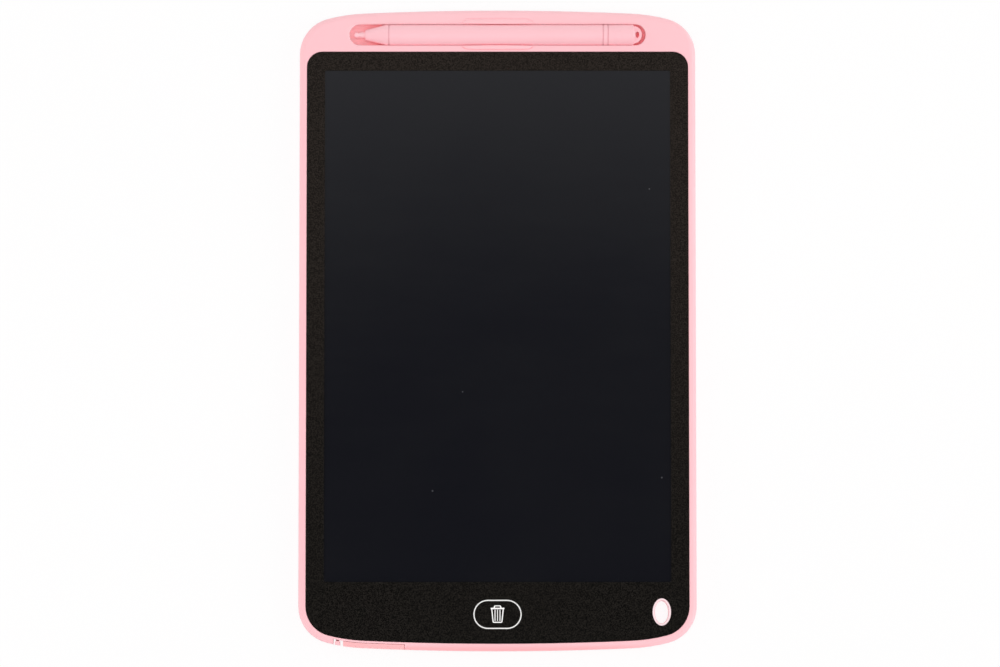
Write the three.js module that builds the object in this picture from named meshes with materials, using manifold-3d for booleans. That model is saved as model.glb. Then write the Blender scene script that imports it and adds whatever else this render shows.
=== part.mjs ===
// LCD writing tablet: a thin two-part plastic housing with a stylus lying in a trough along its top
// edge, a black bezel film round a pressure-sensitive screen, an erase key, a sliding erase lock on
// the back and a pull-out coin cell tray in the bottom edge.
// Millimetres. The tablet lies on its back: +Z points out of the screen, +Y to the stylus, z = 0 is
// the back. The origin is the middle of the back.
import * as THREE from "three";
import { mergeVertices } from "three/addons/utils/BufferGeometryUtils.js";
import Module from "manifold-3d";

const wasm = await Module();
wasm.setup();

// Housing outline: a shallow arch at each end, a shoulder arc and a corner arc, all tangent.
const BODY_WIDTH = 160;
const BODY_LENGTH = 259;
const ARCH_RADIUS = 1200;
const ARCH_SPAN_SHARE = 0.675;
const SHOULDER_RADIUS = 72;
const CORNER_RADIUS = 15;
const FRONT_EDGE_INSET = 2.4;
const FRONT_EDGE_DROP = 2.3;
const BACK_EDGE_RADIUS = 1.6;

// Housing walls.
const SIDE_WALL = 1.8;
const BACK_WALL = 1.2;
const DECK_WALL = 1.2;
const SEAM_HEIGHT = 2;
const SEAM_GAP = 0.15;
const LIP_WALL = 0.9;
const LIP_HEIGHT = 1.3;
const RIB_WALL = 1.2;
const LONG_RIB_SHARES = [-0.4, 0.4];
const CROSS_RIB_SHARES = [0.05, 0.35, 0.65, 0.95];

// Clearances.
const FIT_GAP = 0.15;
const SEAT_GAP = 0.1;
const OVERRUN = 2;

// Snap clips along the long sides.
const CLIP_LENGTH = 8;
const CLIP_HEIGHT = 0.7;
const CLIP_DEPTH = 0.4;
const CLIP_PLACE_SHARES = [-0.6, -0.2, 0.2, 0.6];

// Bezel film and screen.
const RIM_WIDTH = 3;
const FILM_THICKNESS = 0.4;
const FILM_RECESS = 0.1;
const FILM_SLOT_GAP = 2.4;
const FILM_TOP_CORNER = 6.2;
const SCREEN_SIDE_MARGIN = 10.25;
const SCREEN_TOP_MARGIN = 7.6;
const SCREEN_BOTTOM_MARGIN = 27.7;
const SCREEN_CORNER = 0.6;
const LCD_BORDER = 3.3;
const LCD_THICKNESS = 0.6;
const TAPE_THICKNESS = 0.2;
const TAPE_WIDTH = 6;
const TAPE_INSET = 0.6;

// Stylus trough.
const SLOT_EDGE_GAP = 5.55;
const SLOT_CLEARANCE = 0.37;
const TROUGH_WALL = 0.8;
const LIP_SPAN = 28.4;
const LIP_BOW = 0.25;
const UPPER_LIP_WIDTH = 1.8;
const LOWER_LIP_WIDTH = 1.3;
const UPPER_GROOVE_DEPTH = 0.15;
const LOWER_GROOVE_DEPTH = 0.35;
const LIP_GROOVE_WIDTH = 0.4;
const LIP_RISE = 0.35;
const LIP_DEPTH = 0.8;
const LIP_SLOPE = 0.55;
const LIP_END = 4;

// Stylus.
const PEN_RADIUS = 4.2;
const PEN_TIP_GAP = 2.1;
const PEN_TAIL_GAP = 1.8;
const NIB_LENGTH = 4.6;
const NIB_RADIUS = 1.24;
const NIB_SHANK_RADIUS = 0.9;
const NIB_SHANK_LENGTH = 6;
const CONE_LENGTH = 9.6;
const CONE_FRONT_RADIUS = 2.1;
const CONE_LAND = 1.2;
const BARREL_LENGTH = 86.6;
const PEN_BORE_RADIUS = 3.1;
const PEN_RING_LENGTH = 2;
const PEN_CAP_LENGTH = 10.8;
const SPIGOT_LENGTH = 6;
const PEN_SEAM_WIDTH = 0.3;
const PEN_SEAM_DEPTH = 0.35;
const CONE_NOSE_CHAMFER = 0.2;
const PEN_CAP_CHAMFER = 0.7;
const EYELET_RADIUS = 3.6;
const EYELET_REACH = 2.9;
const EYELET_THICKNESS = 2.4;
const EYELET_HOLE_WIDTH = 1.5;
const EYELET_HOLE_HEIGHT = 2.6;
const EYELET_HOLE_INSET = 1.8;

// Erase key.
const KEY_PLACE_SHARE = 0.532;
const KEY_LENGTH = 19.4;
const KEY_WIDTH = 11.7;
const KEY_GAP = 0.12;
const KEY_CHAMFER = 0.2;
const KEY_FLANGE = 1.1;
const KEY_FLANGE_THICKNESS = 0.9;
const KEY_POST_RADIUS = 1.6;
const KEY_POST_LENGTH = 0.3;
const KEY_WALL = 1.1;

// Strap hole.
const STRAP_SIDE_OFFSET = 14.1;
const STRAP_OFFSET = 15.7;
const STRAP_HOLE_WIDTH = 5.6;
const STRAP_HOLE_LENGTH = 9.1;
const STRAP_COLLAR_WALL = 0.85;
const STRAP_FLARE = 0.35;

// Coin cell tray in the bottom edge, its latch arm and the notch that shows the finger.
const TRAY_OFFSET = 18.05;
const TRAY_SIDE_WALL = 2.15;
const TRAY_FLOOR = 0.6;
const TRAY_FACE_WALL = 2.2;
const TRAY_END_WALL = 0.9;
const TRAY_THUMB_HOLE_RADIUS = 5;
const TRAY_WINDOW_WIDTH = 9;
const CELL_RADIUS = 10;
const CELL_THICKNESS = 2.5;
const CELL_POCKET_GAP = 0.15;
const CELL_CAP_RADIUS = 8.6;
const CELL_CAP_HEIGHT = 0.35;
const CELL_EDGE = 0.3;
const FACE_DEPTH = 2.15;
const FINGER_WIDTH = 2;
const FINGER_LEFT_GAP = 0.7;
const FINGER_RIGHT_GAP = 1.3;
const LATCH_ARM_WIDTH = 1.2;
const LATCH_LUG_LENGTH = 2.3;
const LATCH_LUG_GAP = 0.3;
const RAIL_WALL = 1;

// Circuit board and what is on it.
const BOARD_TRAY_GAP = 2.85;
const BOARD_STRAP_GAP = 25.9;
const BOARD_BOTTOM_OFFSET = 7.5;
const BOARD_SCREEN_GAP = 1.6;
const BOARD_THICKNESS = 1;
const BOARD_CORNER = 1;
const BOARD_STANDOFF = 0.8;
const BOSS_RADIUS = 2.2;
const BOSS_GAP = 0.5;
const BOSS_INSET_X = 3.6;
const BOSS_INSET_Y = 4.2;
const SCREW_RADIUS = 0.8;
const SCREW_LENGTH = 2.3;
const SCREW_HEAD_RADIUS = 1.7;
const SCREW_HEAD_HEIGHT = 0.9;
const SCREW_SLOT = 0.4;
const TACT_SIZE = 5.2;
const TACT_HEIGHT = 1.4;
const TACT_STEM_RADIUS = 1.3;
const TACT_STEM_HEIGHT = 0.6;
const TACT_STEM_SINK = 1;
const CHIP_LENGTH = 4.9;
const CHIP_WIDTH = 3.9;
const CHIP_HEIGHT = 1.4;
const CHIP_LEG_COUNT = 4;
const CHIP_LEG_PITCH = 1.27;
const CHIP_LEG_WIDTH = 0.4;
const CHIP_LEG_REACH = 1;
const CHIP_LEG_THICKNESS = 0.2;
const CHIP_PLACE_SHARES = [0.27, 0.69];
const INDUCTOR_RADIUS = 2.4;
const INDUCTOR_HEIGHT = 2;
const INDUCTOR_FLANGE = 0.45;
const INDUCTOR_WAIST = 0.5;
const INDUCTOR_PLACE_SHARES = [0.15, 0.325];
const CAPACITOR_LENGTH = 2;
const CAPACITOR_WIDTH = 1.25;
const CAPACITOR_HEIGHT = 0.9;
const CAPACITOR_ROW_SHARE = 0.286;
const CAPACITOR_PLACE_SHARES = [0.23, 0.29, 0.35];
const TAIL_OFFSET = 26;
const TAIL_WIDTH = 8;
const TAIL_THICKNESS = 0.14;
const TAIL_RUN = 5;
const TAIL_BEND = 0.7;
const TAIL_SLIT = 1.3;
const CONTACT_THICKNESS = 0.2;
const CONTACT_WIDTH = 4;
const CONTACT_FOOT = 3.4;
const CONTACT_GAP = 0.2;
const CONTACT_BEND = 0.6;

// Erase lock: a slide switch on the board, moved by a slider in the back.
const LOCK_SIDE_OFFSET = 15;
const LOCK_TRAVEL = 2;
const LOCK_CAP_LENGTH = 7;
const LOCK_CAP_WIDTH = 4;
const LOCK_CAP_RECESS = 0.25;
const LOCK_GRIP_COUNT = 5;
const LOCK_GRIP_DEPTH = 0.25;
const LOCK_FLANGE_MARGIN = 1.3;
const LOCK_FLANGE_THICKNESS = 0.5;
const LOCK_OFFSET = 11.5;
const LOCK_ARM_WALL = 1.2;
const SWITCH_LENGTH = 6.8;
const SWITCH_WIDTH = 2.8;
const SWITCH_HEIGHT = 1.6;
const SWITCH_WALL = 0.35;
const SWITCH_STEM_WIDTH = 1.3;
const SWITCH_STEM_REACH = 2.2;

// Segments of the curved faces.
const CORNER_STEPS = 9;
const SHOULDER_STEPS = 4;
const ARCH_STEPS = 5;
const EDGE_STEPS = 5;
const ROUND_STEPS = 32;
const HALF_ROUND_STEPS = 12;
const SMALL_ROUND_STEPS = 16;

// Heights of the layers, from the back up: the erase key's stack sets the thickness.
const BOARD_LOW = BACK_WALL + BOARD_STANDOFF;
const BOARD_TOP = BOARD_LOW + BOARD_THICKNESS;
const STEM_TOP = BOARD_TOP + TACT_HEIGHT + TACT_STEM_HEIGHT;
const KEY_FLANGE_LOW = STEM_TOP + KEY_POST_LENGTH;
const LEDGE_LOW = KEY_FLANGE_LOW + KEY_FLANGE_THICKNESS + SEAT_GAP;
const FILM_LOW = LEDGE_LOW + DECK_WALL;
const FILM_TOP = FILM_LOW + FILM_THICKNESS;
const BODY_THICKNESS = FILM_TOP + FILM_RECESS;
const LCD_LOW = FILM_LOW - LCD_THICKNESS;
const DECK_TOP = LCD_LOW - TAPE_THICKNESS;
const DECK_LOW = DECK_TOP - DECK_WALL;
const LIP_TOP = SEAM_HEIGHT + LIP_HEIGHT;
const TRAY_LOW = BACK_WALL + SEAT_GAP;
const TRAY_FACE_TOP = LEDGE_LOW - FIT_GAP;
const CELL_LOW = TRAY_LOW + TRAY_FLOOR;
const CELL_TOP = CELL_LOW + CELL_THICKNESS;

// Places along the stylus, from its tip.
const CONE_START = NIB_LENGTH;
const BARREL_START = CONE_START + CONE_LENGTH;
const RING_START = BARREL_START + BARREL_LENGTH;
const CAP_START = RING_START + PEN_RING_LENGTH;
const CAP_END = CAP_START + PEN_CAP_LENGTH;
const PEN_LENGTH = CAP_END + EYELET_REACH;

// Places in the plane of the tablet.
const TOP_EDGE = BODY_LENGTH / 2;
const BOTTOM_EDGE = -BODY_LENGTH / 2;
const SLOT_RADIUS = PEN_RADIUS + SLOT_CLEARANCE;
const SLOT_LENGTH = PEN_TIP_GAP + PEN_LENGTH + PEN_TAIL_GAP;
const SLOT_Y = TOP_EDGE - SLOT_EDGE_GAP - SLOT_RADIUS;
const PEN_Z = BACK_WALL + SEAT_GAP + TROUGH_WALL + SLOT_RADIUS;
const FILM_UPPER = SLOT_Y - SLOT_RADIUS - FILM_SLOT_GAP;
const SCREEN_WIDTH = BODY_WIDTH - 2 * SCREEN_SIDE_MARGIN;
const SCREEN_UPPER = FILM_UPPER - SCREEN_TOP_MARGIN;
const SCREEN_LOWER = BOTTOM_EDGE + SCREEN_BOTTOM_MARGIN;
const LCD_WIDTH = SCREEN_WIDTH + 2 * LCD_BORDER;
const LCD_UPPER = SCREEN_UPPER + LCD_BORDER;
const LCD_LOWER = SCREEN_LOWER - LCD_BORDER;
const KEY_Y = BOTTOM_EDGE + KEY_PLACE_SHARE * SCREEN_BOTTOM_MARGIN;
const STRAP_X = BODY_WIDTH / 2 - STRAP_SIDE_OFFSET;
const STRAP_Y = BOTTOM_EDGE + STRAP_OFFSET;
const TRAY_LEFT = TRAY_OFFSET - BODY_WIDTH / 2;
const TRAY_X = TRAY_LEFT + TRAY_SIDE_WALL + CELL_POCKET_GAP + CELL_RADIUS;
const TRAY_RIGHT = TRAY_X + CELL_RADIUS + CELL_POCKET_GAP + TRAY_SIDE_WALL;
const FINGER_LEFT = TRAY_LEFT - FINGER_RIGHT_GAP - FINGER_WIDTH;
const NOTCH_LEFT = FINGER_LEFT - FINGER_LEFT_GAP;
const ARM_LEFT = FINGER_LEFT + (FINGER_WIDTH - LATCH_ARM_WIDTH) / 2;
const BOARD_LEFT = TRAY_RIGHT + BOARD_TRAY_GAP;
const BOARD_RIGHT = STRAP_X - BOARD_STRAP_GAP;
const BOARD_LOWER = BOTTOM_EDGE + BOARD_BOTTOM_OFFSET;
const BOARD_UPPER = LCD_LOWER - BOARD_SCREEN_GAP;
const TAIL_X = BOARD_RIGHT - TAIL_OFFSET;
const LOCK_X = BOARD_RIGHT - LOCK_SIDE_OFFSET;
const LOCK_Y = BOTTOM_EDGE + LOCK_OFFSET;

// One material for each kind of surface.
function finish(color, roughness, metalness = 0) {
  return new THREE.MeshStandardMaterial({ color, roughness, metalness });
}
const PINK = finish(0xfec9cf, 0.45);
const PEN_PINK = finish(0xfec8cf, 0.4);
const FILM_BLACK = finish(0x1e1c1a, 0.8);
const LCD_BLACK = finish(0x1b1b20, 0.25);
const TAPE_WHITE = finish(0xe8e6e0, 0.8);
const AMBER_FILM = finish(0xc98a35, 0.4);
const BOARD_GREEN = finish(0x1f6b45, 0.5);
const PART_BLACK = finish(0x202022, 0.6);
const PART_TAN = finish(0xb59a78, 0.6);
const STEEL = finish(0xc8c8c8, 0.35, 1);

// Shape and solid helpers.
function point(x, y) {
  return new THREE.Vector2(x, y);
}

// Points of an arc; angles run from +Y towards +X.
function arc(centre, radius, from, to, steps) {
  const points = [];
  for (let i = 0; i <= steps; i += 1) {
    const angle = from + ((to - from) * i) / steps;
    points.push(point(centre.x + radius * Math.sin(angle), centre.y + radius * Math.cos(angle)));
  }
  return points;
}

// The quarter of the housing outline from the right side to the middle of the top edge.
function quarterOutline(inset) {
  const archAngle = Math.asin((ARCH_SPAN_SHARE * BODY_WIDTH) / 2 / ARCH_RADIUS);
  const archCentre = point(0, TOP_EDGE - ARCH_RADIUS);
  const shoulderCentre = arc(archCentre, ARCH_RADIUS - SHOULDER_RADIUS, archAngle, archAngle, 1)[0];
  const cornerRun = BODY_WIDTH / 2 - CORNER_RADIUS - shoulderCentre.x;
  const shoulderAngle = Math.asin(cornerRun / (SHOULDER_RADIUS - CORNER_RADIUS));
  const cornerOffset = SHOULDER_RADIUS - CORNER_RADIUS;
  const cornerCentre = arc(shoulderCentre, cornerOffset, shoulderAngle, shoulderAngle, 1)[0];
  return [
    ...arc(cornerCentre, CORNER_RADIUS - inset, Math.PI / 2, shoulderAngle, CORNER_STEPS),
    ...arc(shoulderCentre, SHOULDER_RADIUS - inset, shoulderAngle, archAngle, SHOULDER_STEPS).slice(1),
    ...arc(archCentre, ARCH_RADIUS - inset, archAngle, 0, ARCH_STEPS).slice(1),
  ];
}

// The whole outline, anticlockwise, moved inwards by inset.
function bodyOutline(inset = 0) {
  const right = quarterOutline(inset);
  const left = right.slice(0, -1).reverse();
  const mirrored = (points, x, y) => points.map((p) => point(x * p.x, y * p.y));
  return [
    ...right,
    ...mirrored(left, -1, 1),
    ...mirrored(right, -1, -1),
    ...mirrored(left, 1, -1),
  ];
}

// The bezel film: it follows the housing's bottom half and ends straight below the stylus.
function filmOutline(grow = 0) {
  const inset = RIM_WIDTH - grow;
  const halfWidth = BODY_WIDTH / 2 - inset;
  const radius = FILM_TOP_CORNER + grow;
  const centreX = halfWidth - radius;
  const centreY = FILM_UPPER + grow - radius;
  return [
    ...arc(point(centreX, centreY), radius, Math.PI / 2, 0, HALF_ROUND_STEPS),
    ...arc(point(-centreX, centreY), radius, 0, -Math.PI / 2, HALF_ROUND_STEPS),
    ...bodyOutline(inset).filter((p) => p.y < 0),
  ];
}

// A slot-shaped ring of points with round ends, lying along X.
function stadium(length, width, x = 0, y = 0) {
  const radius = width / 2;
  const reach = length / 2 - radius;
  return [
    ...arc(point(x + reach, y), radius, Math.PI, 0, HALF_ROUND_STEPS),
    ...arc(point(x - reach, y), radius, 0, -Math.PI, HALF_ROUND_STEPS),
  ];
}

function ellipse(width, height, x, y, steps = ROUND_STEPS) {
  const points = [];
  for (let i = 0; i < steps; i += 1) {
    const angle = (2 * Math.PI * i) / steps;
    points.push(point(x + (width / 2) * Math.cos(angle), y + (height / 2) * Math.sin(angle)));
  }
  return points;
}

function roundedRectangle(left, right, lower, upper, radius) {
  const turn = Math.PI / 2;
  const steps = EDGE_STEPS;
  return [
    ...arc(point(right - radius, lower + radius), radius, 2 * turn, turn, steps),
    ...arc(point(right - radius, upper - radius), radius, turn, 0, steps),
    ...arc(point(left + radius, upper - radius), radius, 0, -turn, steps),
    ...arc(point(left + radius, lower + radius), radius, -turn, -2 * turn, steps),
  ];
}

// A closed solid through rings of points at rising heights.
function loft(rings) {
  const count = rings[0].points.length;
  const positions = rings.flatMap(({ points, z }) => points.flatMap((p) => [p.x, p.y, z]));
  const index = [];
  for (let ring = 0; ring < rings.length - 1; ring += 1) {
    for (let i = 0; i < count; i += 1) {
      const a = ring * count + i;
      const b = ring * count + ((i + 1) % count);
      index.push(a, b, b + count, a, b + count, a + count);
    }
  }
  const topStart = (rings.length - 1) * count;
  for (const [a, b, c] of THREE.ShapeUtils.triangulateShape(rings[0].points, [])) {
    index.push(a, c, b);
  }
  for (const [a, b, c] of THREE.ShapeUtils.triangulateShape(rings.at(-1).points, [])) {
    index.push(topStart + a, topStart + b, topStart + c);
  }
  const geometry = new THREE.BufferGeometry();
  geometry.setAttribute("position", new THREE.Float32BufferAttribute(positions, 3));
  geometry.setIndex(index);
  return geometry;
}

// A straight-sided solid between two heights, with optional holes.
function prism(points, low, high, holes = []) {
  const shape = new THREE.Shape(points);
  shape.holes = holes.map((hole) => new THREE.Path(hole));
  const geometry = new THREE.ExtrudeGeometry(shape, { depth: high - low, bevelEnabled: false });
  return geometry.translate(0, 0, low);
}

function block(left, right, lower, upper, low, high) {
  const geometry = new THREE.BoxGeometry(right - left, upper - lower, high - low);
  return geometry.translate((left + right) / 2, (lower + upper) / 2, (low + high) / 2);
}

// An upright turned piece from [radius, height] pairs that start and end on its axis.
function turned(profile, steps = ROUND_STEPS) {
  const points = profile.map(([radius, height]) => point(radius, height));
  return new THREE.LatheGeometry(points, steps).rotateX(Math.PI / 2);
}

// A strip of constant thickness along a path of points, as an outline.
function ribbonOutline(path, thickness) {
  const sideOf = (sign) =>
    path.map((p, i) => {
      const before = path[Math.max(i - 1, 0)];
      const after = path[Math.min(i + 1, path.length - 1)];
      const into = i > 0 ? p.clone().sub(before).normalize() : after.clone().sub(p).normalize();
      const out = i < path.length - 1 ? after.clone().sub(p).normalize() : into;
      const mean = into.clone().add(out).normalize();
      const reach = ((sign * thickness) / 2) / mean.dot(into);
      return point(p.x - mean.y * reach, p.y + mean.x * reach);
    });
  return [...sideOf(-1), ...sideOf(1).reverse()];
}

function solid(geometry) {
  const bare = geometry.clone();
  bare.deleteAttribute("normal");
  bare.deleteAttribute("uv");
  const merged = mergeVertices(bare);
  const vertProperties = merged.attributes.position.array;
  const triVerts = new Uint32Array(merged.index.array);
  return new wasm.Manifold(new wasm.Mesh({ numProp: 3, vertProperties, triVerts }));
}

function joined(first, ...rest) {
  return rest.reduce((whole, geometry) => whole.add(solid(geometry)), first);
}

function cut(first, ...rest) {
  return rest.reduce((whole, geometry) => whole.subtract(solid(geometry)), first);
}

function named(name, shape, material) {
  let geometry = shape;
  if (!shape.isBufferGeometry) {
    const { vertProperties, triVerts } = shape.getMesh();
    geometry = new THREE.BufferGeometry();
    geometry.setAttribute("position", new THREE.BufferAttribute(vertProperties, 3));
    geometry.setIndex(new THREE.BufferAttribute(triVerts, 1));
    geometry.computeVertexNormals();
  }
  const mesh = new THREE.Mesh(geometry, material);
  mesh.name = name;
  return mesh;
}

// The outer form of the closed housing, with its rounded front and back edges.
function hull() {
  const rings = [];
  for (let i = 0; i <= EDGE_STEPS; i += 1) {
    const angle = ((Math.PI / 2) * (EDGE_STEPS - i)) / EDGE_STEPS;
    const inset = BACK_EDGE_RADIUS * (1 - Math.cos(angle));
    rings.push({ points: bodyOutline(inset), z: BACK_EDGE_RADIUS * (1 - Math.sin(angle)) });
  }
  for (let i = 0; i <= EDGE_STEPS; i += 1) {
    const angle = ((Math.PI / 2) * i) / EDGE_STEPS;
    const inset = FRONT_EDGE_INSET * (1 - Math.cos(angle));
    const z = BODY_THICKNESS - FRONT_EDGE_DROP * (1 - Math.sin(angle));
    rings.push({ points: bodyOutline(inset), z });
  }
  return loft(rings);
}

// A block as wide as the tablet, between two lines across it and two heights.
function band(lower, upper, low, high) {
  return block(-BODY_WIDTH, BODY_WIDTH, lower, upper, low, high);
}

function strapHole(grow, low, high) {
  const width = STRAP_HOLE_WIDTH + 2 * grow;
  const length = STRAP_HOLE_LENGTH + 2 * grow;
  return prism(ellipse(width, length, STRAP_X, STRAP_Y), low, high);
}

// The way through the side wall that the tray and its latch arm slide in.
function trayOpening() {
  return block(NOTCH_LEFT, TRAY_RIGHT + FIT_GAP, 2 * BOTTOM_EDGE, cellY(), BACK_WALL, LEDGE_LOW);
}

// The outer part of the bottom rim between two lines, where the tray's face and its latch show.
function rimStrip(left, right, low, gap = 0) {
  const whole = solid(block(left, right, 2 * BOTTOM_EDGE, 0, low, BODY_THICKNESS + OVERRUN));
  return cut(whole, prism(bodyOutline(FACE_DEPTH - gap), low - OVERRUN, BODY_THICKNESS + 2 * OVERRUN));
}

// The notch round the latch finger, open at the front and the back.
function fingerNotch() {
  return rimStrip(NOTCH_LEFT, TRAY_LEFT, -OVERRUN);
}

// Where the tray's face rises through the front rim.
function faceOpening() {
  return rimStrip(NOTCH_LEFT, TRAY_RIGHT + FIT_GAP, LEDGE_LOW - FIT_GAP);
}

// Where the bottom edge lies at a place across the tablet.
function edgeAt(x) {
  const lower = bodyOutline().filter((p) => p.y < 0);
  const next = lower.findIndex((p, i) => i > 0 && p.x >= x && lower[i - 1].x < x);
  const [a, b] = [lower[next - 1], lower[next]];
  return a.y + ((b.y - a.y) * (x - a.x)) / (b.x - a.x);
}

function trayInnerFace() {
  return edgeAt(TRAY_X) + TRAY_FACE_WALL;
}

function cellY() {
  return trayInnerFace() + CELL_POCKET_GAP + CELL_RADIUS;
}

function trayEnd() {
  return cellY() + CELL_RADIUS + TRAY_END_WALL;
}

// Housing, front half.
function frontShell() {
  let shell = solid(hull()).intersect(
    solid(band(2 * BOTTOM_EDGE, 2 * TOP_EDGE, SEAM_HEIGHT + SEAM_GAP, 2 * BODY_THICKNESS)),
  );
  shell = cut(shell, prism(bodyOutline(SIDE_WALL), -OVERRUN, DECK_LOW));
  shell = shell.subtract(endCavities());
  shell = joined(shell, troughOuter(), keyGuide());
  shell = cut(
    shell,
    prism(filmOutline(KEY_GAP), FILM_LOW, BODY_THICKNESS + OVERRUN),
    lcdPocket(),
    prism(keyOutline(KEY_GAP), 0, BODY_THICKNESS),
    keySpace(),
    tailSlit(),
    trayOpening(),
    ...clipPockets(),
  );
  shell = joined(shell.subtract(fingerNotch()).subtract(faceOpening()), strapCollar());
  shell = cut(shell, strapHoleFlare(), ...slotCut(), ...lipGrooves());
  return joined(shell, ...slotLips());
}

// Above and below the screen the inside is deeper, up to the ledge that carries the film.
function endCavities() {
  const whole = solid(prism(bodyOutline(SIDE_WALL), 0, LEDGE_LOW));
  const lower = LCD_LOWER - FIT_GAP - DECK_WALL;
  const upper = LCD_UPPER + FIT_GAP + DECK_WALL;
  return cut(whole, band(lower, upper, -OVERRUN, BODY_THICKNESS));
}

function lcdPocket() {
  const half = LCD_WIDTH / 2 + FIT_GAP;
  const [lower, upper] = [LCD_LOWER - FIT_GAP, LCD_UPPER + FIT_GAP];
  return block(-half, half, lower, upper, DECK_TOP, BODY_THICKNESS + OVERRUN);
}

function slotOutline(grow) {
  return stadium(SLOT_LENGTH + 2 * grow, 2 * (SLOT_RADIUS + grow), 0, SLOT_Y);
}

function troughOuter() {
  return prism(slotOutline(TROUGH_WALL), BACK_WALL + SEAT_GAP, LEDGE_LOW + SEAT_GAP);
}

// The trough is round below the stylus axis and straight above it.
function slotCut() {
  const profile = [];
  const reach = SLOT_LENGTH / 2 - SLOT_RADIUS;
  for (const side of [-1, 1]) {
    for (let i = 0; i <= HALF_ROUND_STEPS; i += 1) {
      const angle = ((Math.PI / 2) * (side < 0 ? i : HALF_ROUND_STEPS - i)) / HALF_ROUND_STEPS;
      profile.push([SLOT_RADIUS * Math.sin(angle), side * (reach + SLOT_RADIUS * Math.cos(angle))]);
    }
  }
  profile[0][0] = 0;
  profile.at(-1)[0] = 0;
  const capsule = turned(profile).rotateY(Math.PI / 2).translate(0, SLOT_Y, PEN_Z);
  return [capsule, prism(slotOutline(0), PEN_Z, BODY_THICKNESS + OVERRUN)];
}

// Outline of a lip that lies on the slot's edge: bowed over the slot, straight outside, with
// ends that curve back to the edge.
function lipOutline(width, inset) {
  const half = LIP_SPAN / 2 - inset;
  const ends = [];
  for (let i = 0; i <= EDGE_STEPS; i += 1) {
    const angle = ((Math.PI / 2) * i) / EDGE_STEPS;
    ends.push(point(half - LIP_END * (1 - Math.cos(angle)), (width - inset) * Math.sin(angle)));
  }
  const radius = (LIP_SPAN ** 2 / 4 + LIP_BOW ** 2) / (2 * LIP_BOW);
  const bowHalf = Math.asin(half / radius);
  const sag = radius - LIP_BOW;
  const bow = arc(point(0, sag), radius, Math.PI + bowHalf, Math.PI - bowHalf, HALF_ROUND_STEPS);
  return [...ends, ...ends.map((p) => point(-p.x, p.y)).reverse(), ...bow.slice(1, -1)];
}

const LIPS = [
  { side: 1, width: UPPER_LIP_WIDTH, grooveDepth: UPPER_GROOVE_DEPTH },
  { side: -1, width: LOWER_LIP_WIDTH, grooveDepth: LOWER_GROOVE_DEPTH },
];

function lipRing(lip, inset, z) {
  const points = lipOutline(lip.width, inset).map((p) => {
    return point(lip.side * p.x, SLOT_Y + lip.side * (SLOT_RADIUS + p.y));
  });
  return { points, z };
}

// Two raised lips bow in over the trough's long edges at its middle; their outer sides slope.
function slotLips() {
  return LIPS.map((lip) => {
    return loft([
      lipRing(lip, 0, BODY_THICKNESS - LIP_DEPTH),
      lipRing(lip, 0, BODY_THICKNESS),
      lipRing(lip, LIP_SLOPE, BODY_THICKNESS + LIP_RISE),
    ]);
  });
}

// Space round the lips: what the lips leave of it is a fine groove along their outer sides.
function lipGrooves() {
  return LIPS.map((lip) => {
    const ring = (z) => lipRing(lip, -LIP_GROOVE_WIDTH, z);
    return loft([ring(BODY_THICKNESS - lip.grooveDepth), ring(BODY_THICKNESS + OVERRUN)]);
  });
}

function strapCollar() {
  return strapHole(STRAP_COLLAR_WALL, BACK_WALL + SEAT_GAP, BODY_THICKNESS);
}

function strapHoleFlare() {
  const ring = (grow, z) => {
    const [width, length] = [STRAP_HOLE_WIDTH + 2 * grow, STRAP_HOLE_LENGTH + 2 * grow];
    return { points: ellipse(width, length, STRAP_X, STRAP_Y), z };
  };
  return loft([
    ring(0, -OVERRUN),
    ring(0, BODY_THICKNESS - 2 * STRAP_FLARE),
    ring(STRAP_FLARE, BODY_THICKNESS),
    ring(STRAP_FLARE, BODY_THICKNESS + OVERRUN),
  ]);
}

function keyOutline(grow) {
  return stadium(KEY_LENGTH + 2 * grow, KEY_WIDTH + 2 * grow, 0, KEY_Y);
}

// A short wall round the key's flange.
function keyGuide() {
  return prism(keyOutline(KEY_FLANGE + FIT_GAP + KEY_WALL), KEY_FLANGE_LOW, LEDGE_LOW + SEAT_GAP);
}

// The room for the flange under the ledge.
function keySpace() {
  return prism(keyOutline(KEY_FLANGE + FIT_GAP), 0, LEDGE_LOW);
}

function tailSlit() {
  const half = TAIL_WIDTH / 2 + FIT_GAP;
  const lower = LCD_LOWER - FIT_GAP;
  return block(TAIL_X - half, TAIL_X + half, lower, lower + TAIL_SLIT, 0, FILM_LOW);
}

function clipPlaces() {
  return CLIP_PLACE_SHARES.flatMap((share) => [-1, 1].map((side) => [side, share * TOP_EDGE]));
}

function clipPockets() {
  const reach = BODY_WIDTH / 2 - SIDE_WALL;
  const half = CLIP_LENGTH / 2 + FIT_GAP;
  return clipPlaces().map(([side, y]) => {
    const edges = [side * (reach - OVERRUN), side * (reach + CLIP_DEPTH + FIT_GAP)].sort((a, b) => a - b);
    return block(...edges, y - half, y + half, LIP_TOP - CLIP_HEIGHT - FIT_GAP, LIP_TOP + FIT_GAP);
  });
}

// Housing, back half.
function backCover() {
  const inner = SIDE_WALL + FIT_GAP + LIP_WALL;
  let cover = solid(hull()).intersect(
    solid(band(2 * BOTTOM_EDGE, 2 * TOP_EDGE, -OVERRUN, SEAM_HEIGHT)),
  );
  cover = joined(cover, prism(bodyOutline(SIDE_WALL + FIT_GAP), BACK_WALL, LIP_TOP), ...clips());
  cover = cut(cover, prism(bodyOutline(inner), BACK_WALL, BODY_THICKNESS));
  const grow = TROUGH_WALL + FIT_GAP;
  cover = cut(cover, prism(slotOutline(grow), BACK_WALL, BODY_THICKNESS));
  cover = joined(cover, ...coverRibs(), ...trayRails(), ...bosses()).subtract(fingerNotch());
  return cut(cover, trayOpening(), ...screwPilots(), lockSlot(), strapThrough());
}

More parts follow.
